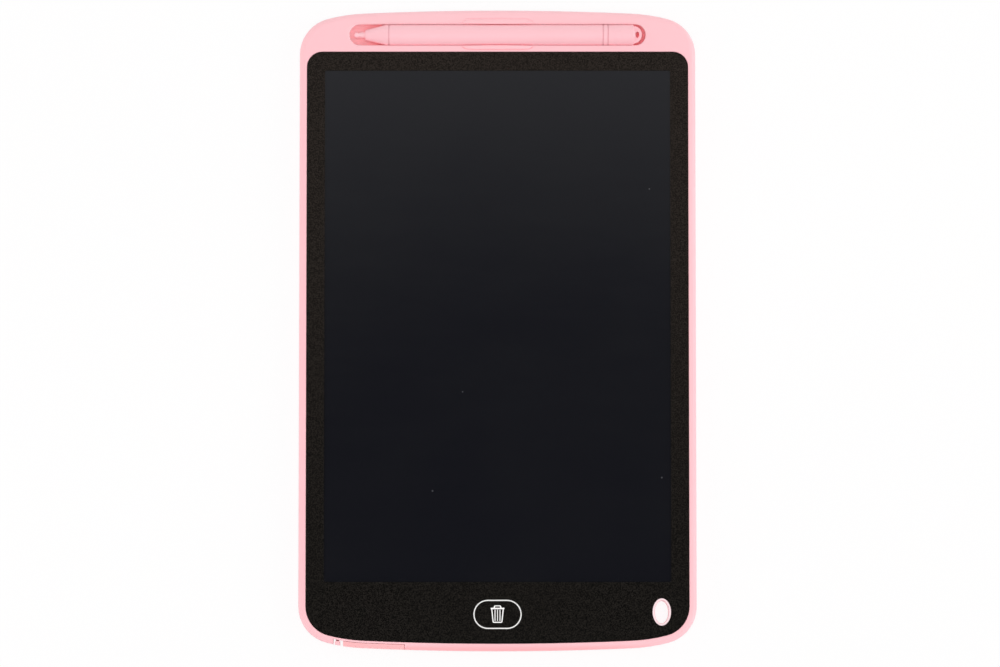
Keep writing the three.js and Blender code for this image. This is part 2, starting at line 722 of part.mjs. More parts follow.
function clips() {
  const reach = BODY_WIDTH / 2 - SIDE_WALL - FIT_GAP;
  return clipPlaces().map(([side, y]) => {
    const barb = [
      point(0, LIP_TOP - CLIP_HEIGHT),
      point(CLIP_DEPTH, LIP_TOP - CLIP_HEIGHT),
      point(0, LIP_TOP),
      point(-LIP_WALL / 2, LIP_TOP),
      point(-LIP_WALL / 2, LIP_TOP - CLIP_HEIGHT),
    ];
    const upright = prism(barb, -CLIP_LENGTH / 2, CLIP_LENGTH / 2).rotateX(Math.PI / 2);
    return upright.rotateZ(side < 0 ? Math.PI : 0).translate(side * reach, y, 0);
  });
}

// Crossed ribs carry the deck under the screen.
function coverRibs() {
  const top = DECK_LOW - SEAT_GAP;
  const reach = SCREEN_WIDTH / 2;
  const ribs = [];
  for (const share of LONG_RIB_SHARES) {
    const x = share * SCREEN_WIDTH;
    ribs.push(block(x - RIB_WALL / 2, x + RIB_WALL / 2, SCREEN_LOWER, SCREEN_UPPER, BACK_WALL, top));
  }
  for (const share of CROSS_RIB_SHARES) {
    const y = SCREEN_LOWER + share * (SCREEN_UPPER - SCREEN_LOWER);
    ribs.push(block(-reach, reach, y - RIB_WALL / 2, y + RIB_WALL / 2, BACK_WALL, top));
  }
  return ribs.map((rib) => sunk(rib));
}

// A piece that stands on the back wall, let into it so that the two are one moulding.
function sunk(geometry) {
  geometry.computeBoundingBox();
  const { min, max } = geometry.boundingBox;
  return block(min.x, max.x, min.y, max.y, min.z - BACK_WALL / 2, max.z);
}

function trayRails() {
  const top = BOARD_TOP - SEAT_GAP;
  const lower = edgeAt(NOTCH_LEFT - RAIL_WALL) + SIDE_WALL + FIT_GAP + LIP_WALL / 2;
  const upper = trayEnd();
  const rights = [NOTCH_LEFT - FIT_GAP, TRAY_RIGHT + FIT_GAP + RAIL_WALL];
  return rights.map((right) => sunk(block(right - RAIL_WALL, right, lower, upper, BACK_WALL, top)));
}

function bossPlaces() {
  return [
    [BOARD_LEFT + CONTACT_THICKNESS + CONTACT_FOOT + BOSS_GAP + BOSS_RADIUS, BOARD_UPPER - BOSS_INSET_Y],
    [BOARD_RIGHT - BOSS_INSET_X, BOARD_UPPER - BOSS_INSET_Y],
  ];
}

function cylinder(radius, low, high, x, y, steps = SMALL_ROUND_STEPS) {
  return prism(ellipse(2 * radius, 2 * radius, x, y, steps), low, high);
}

function bosses() {
  return bossPlaces().map(([x, y]) => cylinder(BOSS_RADIUS, BACK_WALL / 2, BOARD_LOW, x, y));
}

function screwPilots() {
  const low = BOARD_TOP - SCREW_LENGTH - SEAT_GAP;
  return bossPlaces().map(([x, y]) => cylinder(SCREW_RADIUS + SEAT_GAP, low, BOARD_TOP, x, y));
}

function lockSlot() {
  const half = (LOCK_CAP_LENGTH + LOCK_TRAVEL) / 2 + FIT_GAP;
  const halfWidth = LOCK_CAP_WIDTH / 2 + FIT_GAP;
  const x = LOCK_X + LOCK_TRAVEL / 2;
  return block(x - half, x + half, LOCK_Y - halfWidth, LOCK_Y + halfWidth, -OVERRUN, BOARD_LOW);
}

function strapThrough() {
  return strapHole(0, -OVERRUN, BODY_THICKNESS);
}

// Film, screen and what holds it.
function bezelFilm() {
  const screen = roundedRectangle(
    -SCREEN_WIDTH / 2,
    SCREEN_WIDTH / 2,
    SCREEN_LOWER,
    SCREEN_UPPER,
    SCREEN_CORNER,
  );
  const grow = STRAP_COLLAR_WALL + KEY_GAP;
  const [width, length] = [STRAP_HOLE_WIDTH + 2 * grow, STRAP_HOLE_LENGTH + 2 * grow];
  return prism(filmOutline(), FILM_LOW, FILM_TOP, [
    screen,
    ellipse(width, length, STRAP_X, STRAP_Y),
    keyOutline(KEY_GAP),
  ]);
}

function lcdSheet() {
  const half = LCD_WIDTH / 2;
  return prism(roundedRectangle(-half, half, LCD_LOWER, LCD_UPPER, SCREEN_CORNER), LCD_LOW, FILM_LOW);
}

// A tape frame, open where the flexible tail passes under the screen.
function lcdTape() {
  const half = LCD_WIDTH / 2 - TAPE_INSET;
  const [lower, upper] = [LCD_LOWER + TAPE_INSET, LCD_UPPER - TAPE_INSET];
  const outer = block(-half, half, lower, upper, DECK_TOP, LCD_LOW);
  const inner = block(
    TAPE_WIDTH - half,
    half - TAPE_WIDTH,
    lower + TAPE_WIDTH,
    upper - TAPE_WIDTH,
    0,
    BODY_THICKNESS,
  );
  const tailHalf = TAIL_WIDTH / 2 + FIT_GAP;
  const gap = block(TAIL_X - tailHalf, TAIL_X + tailHalf, 2 * BOTTOM_EDGE, 0, 0, BODY_THICKNESS);
  return cut(solid(outer), inner, gap);
}

// The tail runs under the screen, down through the slit and on to the board.
function lcdTail() {
  const upperZ = (DECK_TOP + LCD_LOW) / 2;
  const lowerZ = BOARD_TOP + TAIL_THICKNESS;
  const dropY = LCD_LOWER - FIT_GAP + TAIL_SLIT / 2;
  const path = [
    point(dropY + TAIL_BEND + TAIL_RUN, upperZ),
    ...arc(point(dropY + TAIL_BEND, upperZ - TAIL_BEND), TAIL_BEND, 0, -Math.PI / 2, EDGE_STEPS),
    ...arc(point(dropY - TAIL_BEND, lowerZ + TAIL_BEND), TAIL_BEND, Math.PI / 2, Math.PI, EDGE_STEPS),
    point(dropY - TAIL_BEND - TAIL_RUN, lowerZ),
  ];
  const flat = prism(ribbonOutline(path, TAIL_THICKNESS), -TAIL_WIDTH / 2, TAIL_WIDTH / 2);
  return flat.rotateX(Math.PI / 2).rotateZ(Math.PI / 2).translate(TAIL_X, 0, 0);
}

// Erase key: a flush cap with a flange under the ledge and a post on the switch.
function eraseKey() {
  const cap = loft([
    { points: keyOutline(0), z: KEY_FLANGE_LOW + KEY_FLANGE_THICKNESS / 2 },
    { points: keyOutline(0), z: FILM_TOP - KEY_CHAMFER },
    { points: keyOutline(-KEY_CHAMFER), z: FILM_TOP },
  ]);
  const flange = prism(keyOutline(KEY_FLANGE), KEY_FLANGE_LOW, KEY_FLANGE_LOW + KEY_FLANGE_THICKNESS);
  return joined(solid(cap), flange, cylinder(KEY_POST_RADIUS, STEM_TOP, LEDGE_LOW, 0, KEY_Y));
}

function tactBody() {
  const half = TACT_SIZE / 2;
  const body = block(-half, half, KEY_Y - half, KEY_Y + half, BOARD_TOP, BOARD_TOP + TACT_HEIGHT);
  const bore = cylinder(TACT_STEM_RADIUS + SEAT_GAP, BOARD_TOP, BODY_THICKNESS, 0, KEY_Y);
  return cut(solid(body), bore);
}

function tactStem() {
  const low = BOARD_TOP + TACT_HEIGHT - TACT_STEM_SINK;
  return cylinder(TACT_STEM_RADIUS, low, STEM_TOP, 0, KEY_Y);
}

// Circuit board.
function circuitBoard() {
  const outline = roundedRectangle(BOARD_LEFT, BOARD_RIGHT, BOARD_LOWER, BOARD_UPPER, BOARD_CORNER);
  const hole = SCREW_RADIUS + FIT_GAP;
  const holes = bossPlaces().map(([x, y]) => ellipse(2 * hole, 2 * hole, x, y, SMALL_ROUND_STEPS));
  return prism(outline, BOARD_LOW, BOARD_TOP, holes);
}

// A pan-head screw with a cross recess.
function boardScrew([x, y]) {
  const head = SCREW_HEAD_RADIUS;
  const screw = turned(
    [
      [0, BOARD_TOP - SCREW_LENGTH],
      [SCREW_RADIUS, BOARD_TOP - SCREW_LENGTH + SCREW_RADIUS],
      [SCREW_RADIUS, BOARD_TOP],
      [head, BOARD_TOP],
      [head, BOARD_TOP + SCREW_HEAD_HEIGHT / 2],
      [head / 2, BOARD_TOP + SCREW_HEAD_HEIGHT],
      [0, BOARD_TOP + SCREW_HEAD_HEIGHT],
    ],
    SMALL_ROUND_STEPS,
  );
  const low = BOARD_TOP + SCREW_HEAD_HEIGHT / 2;
  const [long, short] = [head / 2 + SCREW_SLOT, SCREW_SLOT / 2];
  const recess = [
    block(-long, long, -short, short, low, BODY_THICKNESS),
    block(-short, short, -long, long, low, BODY_THICKNESS),
  ];
  return cut(solid(screw), ...recess).translate([x, y, 0]);
}

function onBoard([xShare, yShare]) {
  const x = BOARD_LEFT + xShare * (BOARD_RIGHT - BOARD_LEFT);
  return [x, BOARD_LOWER + yShare * (BOARD_UPPER - BOARD_LOWER)];
}

function driverChip() {
  const [x, y] = onBoard(CHIP_PLACE_SHARES);
  const low = BOARD_TOP + CHIP_LEG_THICKNESS;
  const [halfX, halfY] = [CHIP_LENGTH / 2, CHIP_WIDTH / 2];
  const body = block(x - halfX, x + halfX, y - halfY, y + halfY, low, BOARD_TOP + CHIP_HEIGHT);
  const legs = [];
  for (let i = 0; i < CHIP_LEG_COUNT; i += 1) {
    const legX = x + (i - (CHIP_LEG_COUNT - 1) / 2) * CHIP_LEG_PITCH;
    const [left, right] = [legX - CHIP_LEG_WIDTH / 2, legX + CHIP_LEG_WIDTH / 2];
    const reach = halfY + CHIP_LEG_REACH;
    const shoulder = halfY + CHIP_LEG_REACH / 2;
    const high = BOARD_TOP + CHIP_HEIGHT / 2;
    for (const side of [-1, 1]) {
      const lie = (a, b, z0, z1) => {
        const [lower, upper] = [y + side * a, y + side * b].sort((p, q) => p - q);
        return block(left, right, lower, upper, z0, z1);
      };
      legs.push(lie(halfY - CHIP_LEG_WIDTH, shoulder, high, high + CHIP_LEG_THICKNESS));
      legs.push(lie(shoulder - CHIP_LEG_THICKNESS, shoulder, BOARD_TOP, high + CHIP_LEG_THICKNESS));
      legs.push(lie(shoulder - CHIP_LEG_THICKNESS, reach, BOARD_TOP, low));
    }
  }
  return joined(solid(body), ...legs);
}

function inductor() {
  const [x, y] = onBoard(INDUCTOR_PLACE_SHARES);
  const top = BOARD_TOP + INDUCTOR_HEIGHT;
  const waist = INDUCTOR_RADIUS - INDUCTOR_WAIST;
  const drum = turned(
    [
      [0, BOARD_TOP],
      [INDUCTOR_RADIUS, BOARD_TOP],
      [INDUCTOR_RADIUS, BOARD_TOP + INDUCTOR_FLANGE],
      [waist, BOARD_TOP + INDUCTOR_FLANGE],
      [waist, top - INDUCTOR_FLANGE],
      [INDUCTOR_RADIUS, top - INDUCTOR_FLANGE],
      [INDUCTOR_RADIUS, top],
      [0, top],
    ],
    SMALL_ROUND_STEPS,
  );
  return drum.translate(x, y, 0);
}

function capacitor(share) {
  const [x, y] = onBoard([share, CAPACITOR_ROW_SHARE]);
  const [halfX, halfY] = [CAPACITOR_LENGTH / 2, CAPACITOR_WIDTH / 2];
  return block(x - halfX, x + halfX, y - halfY, y + halfY, BOARD_TOP, BOARD_TOP + CAPACITOR_HEIGHT);
}

// Battery contacts: one leaf over the cell's cap, one against its rim.
function capContact() {
  const foot = BOARD_TOP + CONTACT_THICKNESS / 2;
  const leaf = CELL_TOP + CONTACT_GAP + CONTACT_THICKNESS / 2;
  const riser = BOARD_LEFT + CONTACT_THICKNESS;
  const path = [
    point(riser + CONTACT_FOOT, foot),
    point(riser + CONTACT_BEND, foot),
    point(riser, foot + CONTACT_BEND),
    point(riser, leaf - CONTACT_BEND),
    point(riser - CONTACT_BEND, leaf),
    point(TRAY_X - CONTACT_FOOT, leaf),
    point(TRAY_X - 2 * CONTACT_FOOT, leaf + CONTACT_BEND),
  ];
  const flat = prism(ribbonOutline(path, CONTACT_THICKNESS), -CONTACT_WIDTH / 2, CONTACT_WIDTH / 2);
  return flat.rotateX(Math.PI / 2).translate(0, cellY(), 0);
}

function rimContact() {
  const y = BOARD_UPPER - CONTACT_FOOT / 2;
  const behind = trayEnd() + CONTACT_GAP + CONTACT_THICKNESS;
  const rim = cellY() + CELL_RADIUS + CONTACT_GAP + CONTACT_THICKNESS / 2;
  const turnX = TRAY_RIGHT + RAIL_WALL + FIT_GAP;
  const bulge = TRAY_WINDOW_WIDTH / 2;
  const path = [
    point(BOARD_LEFT + CONTACT_FOOT, y),
    point(turnX + CONTACT_BEND, y),
    point(turnX, y + CONTACT_BEND),
    point(turnX, behind - CONTACT_BEND),
    point(turnX - CONTACT_BEND, behind),
    point(TRAY_X + bulge, behind),
    point(TRAY_X + CONTACT_BEND, rim),
    point(TRAY_X - CONTACT_BEND, rim),
    point(TRAY_X - bulge, behind),
  ];
  return prism(ribbonOutline(path, CONTACT_THICKNESS), BOARD_TOP, CELL_TOP - SEAT_GAP);
}

// Coin cell tray: its face is part of the housing's rounded edge.
function batteryTray() {
  const inner = trayInnerFace();
  const end = trayEnd();
  const low = block(TRAY_LEFT, TRAY_RIGHT, 2 * BOTTOM_EDGE, inner, TRAY_LOW, TRAY_FACE_TOP);
  const face = joined(rimStrip(TRAY_LEFT, TRAY_RIGHT, TRAY_LOW, FIT_GAP), low).intersect(solid(hull()));
  const frame = block(TRAY_LEFT, TRAY_RIGHT, inner - TRAY_FACE_WALL / 2, end, TRAY_LOW, CELL_TOP);
  const lugLeft = ARM_LEFT + LATCH_ARM_WIDTH + LATCH_LUG_GAP;
  const lug = block(lugLeft, TRAY_X, end - LATCH_LUG_LENGTH, end, TRAY_LOW, CELL_TOP);
  const pocket = CELL_RADIUS + CELL_POCKET_GAP;
  const window = TRAY_WINDOW_WIDTH / 2;
  return cut(
    joined(face, frame, lug),
    cylinder(pocket, CELL_LOW, BODY_THICKNESS, TRAY_X, cellY(), ROUND_STEPS),
    cylinder(TRAY_THUMB_HOLE_RADIUS, 0, BODY_THICKNESS, TRAY_X, cellY()),
    block(TRAY_X - window, TRAY_X + window, cellY(), end + OVERRUN, CELL_LOW, BODY_THICKNESS),
  );
}

// The latch: a springy arm beside the tray, ending in the finger that shows in the notch.
function trayLatch() {
  const right = FINGER_LEFT + FINGER_WIDTH;
  const inner = edgeAt(TRAY_LEFT) + FACE_DEPTH - FIT_GAP;
  const finger = solid(hull()).intersect(
    solid(block(FINGER_LEFT, right, 2 * BOTTOM_EDGE, inner, TRAY_LOW, BODY_THICKNESS)),
  );
  const armRight = ARM_LEFT + LATCH_ARM_WIDTH;
  return joined(finger, block(ARM_LEFT, armRight, inner - FIT_GAP, trayEnd(), CELL_LOW, CELL_TOP));
}

function coinCell() {
  const shoulder = CELL_TOP - CELL_CAP_HEIGHT;
  const can = turned([
    [0, CELL_LOW],
    [CELL_RADIUS - CELL_EDGE, CELL_LOW],
    [CELL_RADIUS, CELL_LOW + CELL_EDGE],
    [CELL_RADIUS, shoulder - CELL_EDGE],
    [CELL_RADIUS - CELL_EDGE, shoulder],
    [CELL_CAP_RADIUS, shoulder],
    [CELL_CAP_RADIUS - CELL_EDGE, CELL_TOP],
    [0, CELL_TOP],
  ]);
  return can.translate(TRAY_X, cellY(), 0);
}

// Erase lock.
function lockSlider() {
  const halfX = LOCK_CAP_LENGTH / 2;
  const halfY = LOCK_CAP_WIDTH / 2;
  const low = BACK_WALL + SEAT_GAP;
  const top = low + LOCK_FLANGE_THICKNESS;
  const pitch = LOCK_CAP_LENGTH / LOCK_GRIP_COUNT;
  const comb = [point(halfX, low), point(-halfX, low)];
  for (let i = 0; i < LOCK_GRIP_COUNT; i += 1) {
    const left = i * pitch - halfX;
    comb.push(point(left, LOCK_CAP_RECESS + LOCK_GRIP_DEPTH));
    comb.push(point(left + pitch / 4, LOCK_CAP_RECESS));
    comb.push(point(left + (3 * pitch) / 4, LOCK_CAP_RECESS));
  }
  comb.push(point(halfX, LOCK_CAP_RECESS + LOCK_GRIP_DEPTH));
  const cap = prism(comb, -halfY, halfY).rotateX(Math.PI / 2).translate(LOCK_X, LOCK_Y, 0);
  const reach = halfX + LOCK_TRAVEL + LOCK_FLANGE_MARGIN;
  const outer = BOARD_LOWER - FIT_GAP;
  const armLow = outer - SWITCH_STEM_REACH + FIT_GAP;
  const flange = block(
    LOCK_X - reach,
    LOCK_X + reach,
    armLow,
    LOCK_Y + halfY + LOCK_FLANGE_MARGIN,
    low,
    top,
  );
  const stemHalf = SWITCH_STEM_WIDTH / 2 + SEAT_GAP;
  const prongs = [-1, 1].map((side) => {
    const edges = [LOCK_X + side * stemHalf, LOCK_X + side * (stemHalf + LOCK_ARM_WALL)];
    return block(Math.min(...edges), Math.max(...edges), armLow, outer, low, switchStemTop());
  });
  return joined(solid(flange), cap, ...prongs);
}

function switchFace() {
  return BOARD_LOWER + FIT_GAP;
}

function switchStemTop() {
  return BOARD_TOP + SWITCH_HEIGHT - SWITCH_WALL - SEAT_GAP;
}

function slideSwitchBody() {
  const x = LOCK_X + LOCK_TRAVEL / 2;
  const half = SWITCH_LENGTH / 2;
  const [lower, upper] = [switchFace(), switchFace() + SWITCH_WIDTH];
  const high = BOARD_TOP + SWITCH_HEIGHT;
  const body = block(x - half, x + half, lower, upper, BOARD_TOP, high);
  const travel = (SWITCH_STEM_WIDTH + LOCK_TRAVEL) / 2 + SEAT_GAP;
  const pocket = block(
    x - travel,
    x + travel,
    lower - OVERRUN,
    upper - SWITCH_WALL,
    BOARD_TOP + SWITCH_WALL,
    high - SWITCH_WALL,
  );
  return cut(solid(body), pocket);
}

function slideSwitchStem() {
  const half = SWITCH_STEM_WIDTH / 2;
  const outer = BOARD_LOWER - SWITCH_STEM_REACH;
  const inner = switchFace() + SWITCH_WIDTH / 2;
  const low = BOARD_TOP + SWITCH_WALL + SEAT_GAP;
  return block(LOCK_X - half, LOCK_X + half, outer, inner, low, switchStemTop());
}

// Stylus pieces, turned about the stylus axis from the tip.
function alongPen(profile, steps = ROUND_STEPS) {
  return turned(profile, steps).rotateY(Math.PI / 2);
}

function penNib() {
  const ball = NIB_RADIUS - SEAT_GAP;
  const profile = [[0, 0]];
  for (let i = 1; i <= EDGE_STEPS; i += 1) {
    const angle = (Math.PI * i) / (EDGE_STEPS + 2);
    profile.push([ball * Math.sin(angle), ball * (1 - Math.cos(angle))]);
  }
  return alongPen(
    [
      ...profile,
      [NIB_SHANK_RADIUS, NIB_LENGTH / 2],
      [NIB_RADIUS, NIB_LENGTH / 2 + NIB_RADIUS / 2],
      [NIB_RADIUS, NIB_LENGTH],
      [NIB_SHANK_RADIUS, NIB_LENGTH],
      [NIB_SHANK_RADIUS, NIB_LENGTH + NIB_SHANK_LENGTH],
      [0, NIB_LENGTH + NIB_SHANK_LENGTH],
    ],
    SMALL_ROUND_STEPS,
  );
}

function penCone() {
  const bore = NIB_SHANK_RADIUS + SEAT_GAP;
  const boreEnd = CONE_START + NIB_SHANK_LENGTH + SEAT_GAP;
  const spigot = PEN_BORE_RADIUS - SEAT_GAP;
  return alongPen([
    [0, boreEnd],
    [bore, boreEnd],
    [bore, CONE_START],
    [CONE_FRONT_RADIUS - CONE_NOSE_CHAMFER, CONE_START],
    [CONE_FRONT_RADIUS, CONE_START + CONE_NOSE_CHAMFER],
    [PEN_RADIUS, BARREL_START - CONE_LAND],
    ...seamStep(BARREL_START, -1),
    [spigot, BARREL_START],
    [spigot, BARREL_START + SPIGOT_LENGTH],
    [0, BARREL_START + SPIGOT_LENGTH],
  ]);
}

// Half of the groove at a seam between two stylus pieces, before (-1) or after (1) the seam.
function seamStep(seam, side) {
  const shoulder = seam + (side * PEN_SEAM_WIDTH) / 2;
  const low = PEN_RADIUS - PEN_SEAM_DEPTH;
  const outwards = [[low, seam], [low, shoulder], [PEN_RADIUS, shoulder]];
  return side > 0 ? outwards : outwards.reverse();
}

// A tube with half a groove at each end; the profile is closed.
function penTube(start, end) {
  return alongPen([
    [PEN_BORE_RADIUS, start],
    ...seamStep(start, 1),
    ...seamStep(end, -1),
    [PEN_BORE_RADIUS, end],
    [PEN_BORE_RADIUS, start],
  ]);
}

// The tail cap plugs the barrel through the ring and ends in a flat eyelet.
function penCap() {
  const spigot = PEN_BORE_RADIUS - SEAT_GAP;
  const plug = CAP_START - PEN_RING_LENGTH - SPIGOT_LENGTH;
  const round = alongPen([
    [0, plug],
    [spigot, plug],
    [spigot, CAP_START],
    ...seamStep(CAP_START, 1),
    [PEN_RADIUS, CAP_END - PEN_CAP_CHAMFER],
    [PEN_RADIUS - PEN_CAP_CHAMFER, CAP_END],
    [0, CAP_END],
  ]);
  const half = EYELET_THICKNESS / 2;
  const length = PEN_LENGTH - CAP_START;
  const tongue = prism(stadium(length, 2 * EYELET_RADIUS, PEN_LENGTH - length / 2), -half, half);
  const holeX = PEN_LENGTH - EYELET_HOLE_INSET;
  const hole = prism(
    ellipse(EYELET_HOLE_WIDTH, EYELET_HOLE_HEIGHT, holeX, 0, SMALL_ROUND_STEPS),
    -PEN_RADIUS,
    PEN_RADIUS,
  );
  return cut(joined(solid(round), tongue), hole);
}

// The assembly: the housing and, in a group each, the pieces that move.
function assembly() {
  const tablet = new THREE.Group();
  tablet.name = "writing_tablet";
  const screws = bossPlaces();
  tablet.add(
    named("front_shell", frontShell(), PINK),
    named("back_cover", backCover(), PINK),
    named("bezel_film", bezelFilm(), FILM_BLACK),
    named("lcd_sheet", lcdSheet(), LCD_BLACK),
    named("lcd_tape", lcdTape(), TAPE_WHITE),
    named("lcd_flex_tail", lcdTail(), AMBER_FILM),
    named("circuit_board", circuitBoard(), BOARD_GREEN),
    named("board_screw_left", boardScrew(screws[0]), STEEL),
    named("board_screw_right", boardScrew(screws[1]), STEEL),
    named("tact_switch_body", tactBody(), PART_BLACK),
    named("slide_switch_body", slideSwitchBody(), STEEL),
    named("driver_chip", driverChip(), PART_BLACK),
    named("boost_inductor", inductor(), PART_BLACK),
    named("battery_contact_cap", capContact(), STEEL),
    named("battery_contact_rim", rimContact(), STEEL),
  );
  CAPACITOR_PLACE_SHARES.forEach((share, i) => {
    tablet.add(named(`capacitor_${i + 1}`, capacitor(share), PART_TAN));
  });

  const key = new THREE.Group();
  key.add(named("erase_key", eraseKey(), FILM_BLACK), named("tact_switch_stem", tactStem(), PART_BLACK));

  const lock = new THREE.Group();
  lock.add(
    named("lock_slider", lockSlider(), PINK),
    named("slide_switch_stem", slideSwitchStem(), PART_BLACK),
  );

  const tray = new THREE.Group();
  tray.add(
    named("battery_tray", batteryTray(), PINK),
    named("tray_latch", trayLatch(), PINK),
    named("coin_cell", coinCell(), STEEL),
  );

  const pen = new THREE.Group();
  pen.position.set(PEN_TIP_GAP - SLOT_LENGTH / 2, SLOT_Y, PEN_Z);
  pen.add(
    named("pen_nib", penNib(), PEN_PINK),
    named("pen_cone", penCone(), PEN_PINK),
    named("pen_barrel", penTube(BARREL_START, RING_START), PEN_PINK),
    named("pen_ring", penTube(RING_START, CAP_START), PEN_PINK),
    named("pen_cap", penCap(), PEN_PINK),
  );
  tablet.add(key, lock, tray, pen);
  return tablet;
}

const group = assembly();
export default group;
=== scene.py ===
import math

import bmesh
import bpy
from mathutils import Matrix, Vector


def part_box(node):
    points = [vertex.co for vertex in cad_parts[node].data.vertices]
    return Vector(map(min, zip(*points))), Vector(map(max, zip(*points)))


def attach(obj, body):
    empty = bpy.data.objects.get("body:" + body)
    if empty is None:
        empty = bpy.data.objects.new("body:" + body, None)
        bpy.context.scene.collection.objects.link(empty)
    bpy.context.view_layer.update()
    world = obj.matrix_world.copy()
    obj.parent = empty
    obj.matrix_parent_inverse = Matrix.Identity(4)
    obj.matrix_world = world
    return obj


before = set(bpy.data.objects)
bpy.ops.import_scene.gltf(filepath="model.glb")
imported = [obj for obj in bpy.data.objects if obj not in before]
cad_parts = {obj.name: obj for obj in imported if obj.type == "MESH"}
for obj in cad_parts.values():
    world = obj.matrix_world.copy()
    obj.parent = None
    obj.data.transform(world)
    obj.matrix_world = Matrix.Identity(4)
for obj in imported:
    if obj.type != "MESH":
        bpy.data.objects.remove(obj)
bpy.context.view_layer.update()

MM = 0.001
WHITE = (1, 1, 1, 1)

# Camera, with its lens and sensor in mm
CAMERA_PLACE = (1.0 * MM, -148.0 * MM, 2000 * MM)
CAMERA_LEAN = math.radians(4.197)
CAMERA_LENS = 178.56
CAMERA_SENSOR = 36
CAMERA_NEAR = 0.05
CAMERA_FAR = 50

# Studio tent, with the edges of its bright and dark parts as cosines of the angle from an axis
SKY_LEVEL = 0.44
SKY_OPENING_SHARE = 0.08
SKY_OPENING_MIDDLE = (0, -0.03, 1)
SKY_OPENING_EDGES = (0.984, 0.995)
SKY_SIDE_EDGES = (0.5, 0.95)
SKY_RIGHT_GAIN = 2.8
SKY_LEFT_GAIN = 1.8
SKY_END_EDGES = (0.35, 0.75)
SKY_END_GAIN = 0.4
SKY_FRONT_EDGES = (-0.8, 0.0)
SKY_FRONT_COLOUR = (1.3, 1.12, 1.15, 1)

# Soft boxes that face the tablet: place, power in watts, and whether surfaces mirror them
LAMPS = {
    "lamp_left": ((-1.3, 0.7, 1.5), 1.7, True),
    "lamp_right": ((1.4, 0.5, 1.4), 1.2, True),
    "lamp_top": ((0, -0.05, 2.6), 18.4, False),
    "lamp_front": ((0, -1.2, 2.2), 2.0, True),
}
LAMP_SIZE = 1.1
LIGHT_BOUNCES = 24

# White floor with a slow change of tone
FLOOR_SIZE = 40
FLOOR_DROP = 0.05 * MM
FLOOR_CLOUD_SIZE = 0.4
FLOOR_COLOUR = (250, 250, 250)
FLOOR_SHADE = (247, 247, 247)
FLOOR_GLOW_SHARE = 0.87

# Ranges that one noise, and the sum of two, keep to nearly everywhere
NOISE_RANGE = (0.3, 0.7)
NOISE_SUM_RANGE = (0.7, 1.3)

# Moulded plastic: flow shades, sink marks and a spark-eroded skin
FLOW_SIZE = 28 * MM
SINK_SIZE = 9 * MM
SINK_DEPTH = 0.01 * MM
SKIN_SIZE = 0.35 * MM
SKIN_DEPTH = 0.004 * MM
SPECK_RANGE = (0.35, 0.75)
SPECK_SHARE = 0.18
PLASTIC_ROUGHNESS = 0.42
PLASTIC_ROUGHNESS_STEPS = (-0.05, 0.07)
PLASTIC_IOR = 1.46

# Pinks of the plastic pieces, each with its shade
SHELL_PINKS = ((254, 200, 206), (253, 198, 204))
TRAY_PINKS = ((254, 191, 193), (253, 186, 188))
LATCH_PINKS = ((254, 203, 208), (253, 200, 205))
# The lining's pink is paler than the shell's: painted light in the shade of the trough's crevice
LINING_LIGHT_PINKS = ((254, 224, 228), (254, 224, 228))
PEN_PINKS = ((254, 199, 206), (253, 197, 204))
PEN_ROUGHNESS = 0.36
NIB_PINKS = ((254, 206, 212), (253, 201, 207))
NIB_ROUGHNESS = 0.34

# Painted highlight that makes the collar of the strap hole paler: its middle, and half its size
# with some room round it
COLLAR_HIGHLIGHT_PINK = (254, 231, 234)
COLLAR_MIDDLE = (65.9 * MM, -113.8 * MM, 8 * MM)
COLLAR_REACH = (4.7 * MM, 6.7 * MM, 9 * MM)

# Painted shade on the lower rim, whose colour deepens between two places along Y
RIM_SHADE_PINK = (254, 178, 182)
RIM_SHADE_SHARE = 0.8
RIM_DEPTHS = (-128.9 * MM, -126.4 * MM)

# Painted light that makes the open end of the trough paler, and fades between two shares of the way
# to the barrel
NIB_BAY_LIGHT_PINK = (254, 212, 216)
NIB_BAY_FADE = (0.5, 2.2)

# Painted shade in the stylus's seams, and how far it reaches to both sides
SEAM_SHADE = (239, 183, 191)
SEAM_REACH = (0.12 * MM, 0.22 * MM)

# Bezel film, with its tones at the key's end and at the stylus's end, paler at the stylus's end as
# a painted reflection
FILM_REFLECTION_ENDS = (-125 * MM, 120 * MM)
FILM_DARK = ((5, 5, 4), (23, 20, 17))
FILM_PALE = ((32, 30, 27), (46, 41, 37))
FILM_GRAIN_SIZE = 0.5 * MM
FILM_PATCH_SIZE = 1.6 * MM
FILM_PATCH_SHARE = 0.16
FILM_MOTTLE_RANGE = (0.44, 0.57)
FILM_PEBBLE_RANGE = (0.05, 0.65)
FILM_GRAIN_RANGE = (0.25, 0.75)
FILM_DEPTH = 0.015 * MM
FILM_GLINT = (80, 76, 71)
FILM_GLINT_RANGE = (0.68, 0.78)
FILM_GLINT_SHARE = 0.5
FILM_ROUGHNESS = (0.6, 0.78)
FILM_SPECULAR = 0.05

# Screen, with cloudy tones and a slow ripple
SCREEN_TONE = (15, 16, 22)
SCREEN_SHADE = (17, 18, 23)
SCREEN_CLOUD_SIZE = 60 * MM
SCREEN_CLOUD_RANGE = (0.35, 0.65)
SCREEN_SPECULAR = 0.71
RIPPLE_SIZE = 14 * MM
RIPPLE_DEPTH = 0.001 * MM

# Wipe marks, dust and lint on the screen
WIPE_SIZE = 5 * MM
WIPE_SCALE = (0.16, 1, 1)
WIPE_RANGE = (0.3, 0.75)
WIPE_ROUGHNESS = (0.09, 0.11)
DUST_GREY = (118, 120, 124)
DUST_PITCH = 24 * MM
DUST_EDGES = (0.010, 0.018)
DUST_SHARE = 0.3
LINT_PITCH = 19 * MM
LINT_SCALE = (1, 0.24, 1)
LINT_EDGES = (0.006, 0.012)
LINT_SHARE = 0.35

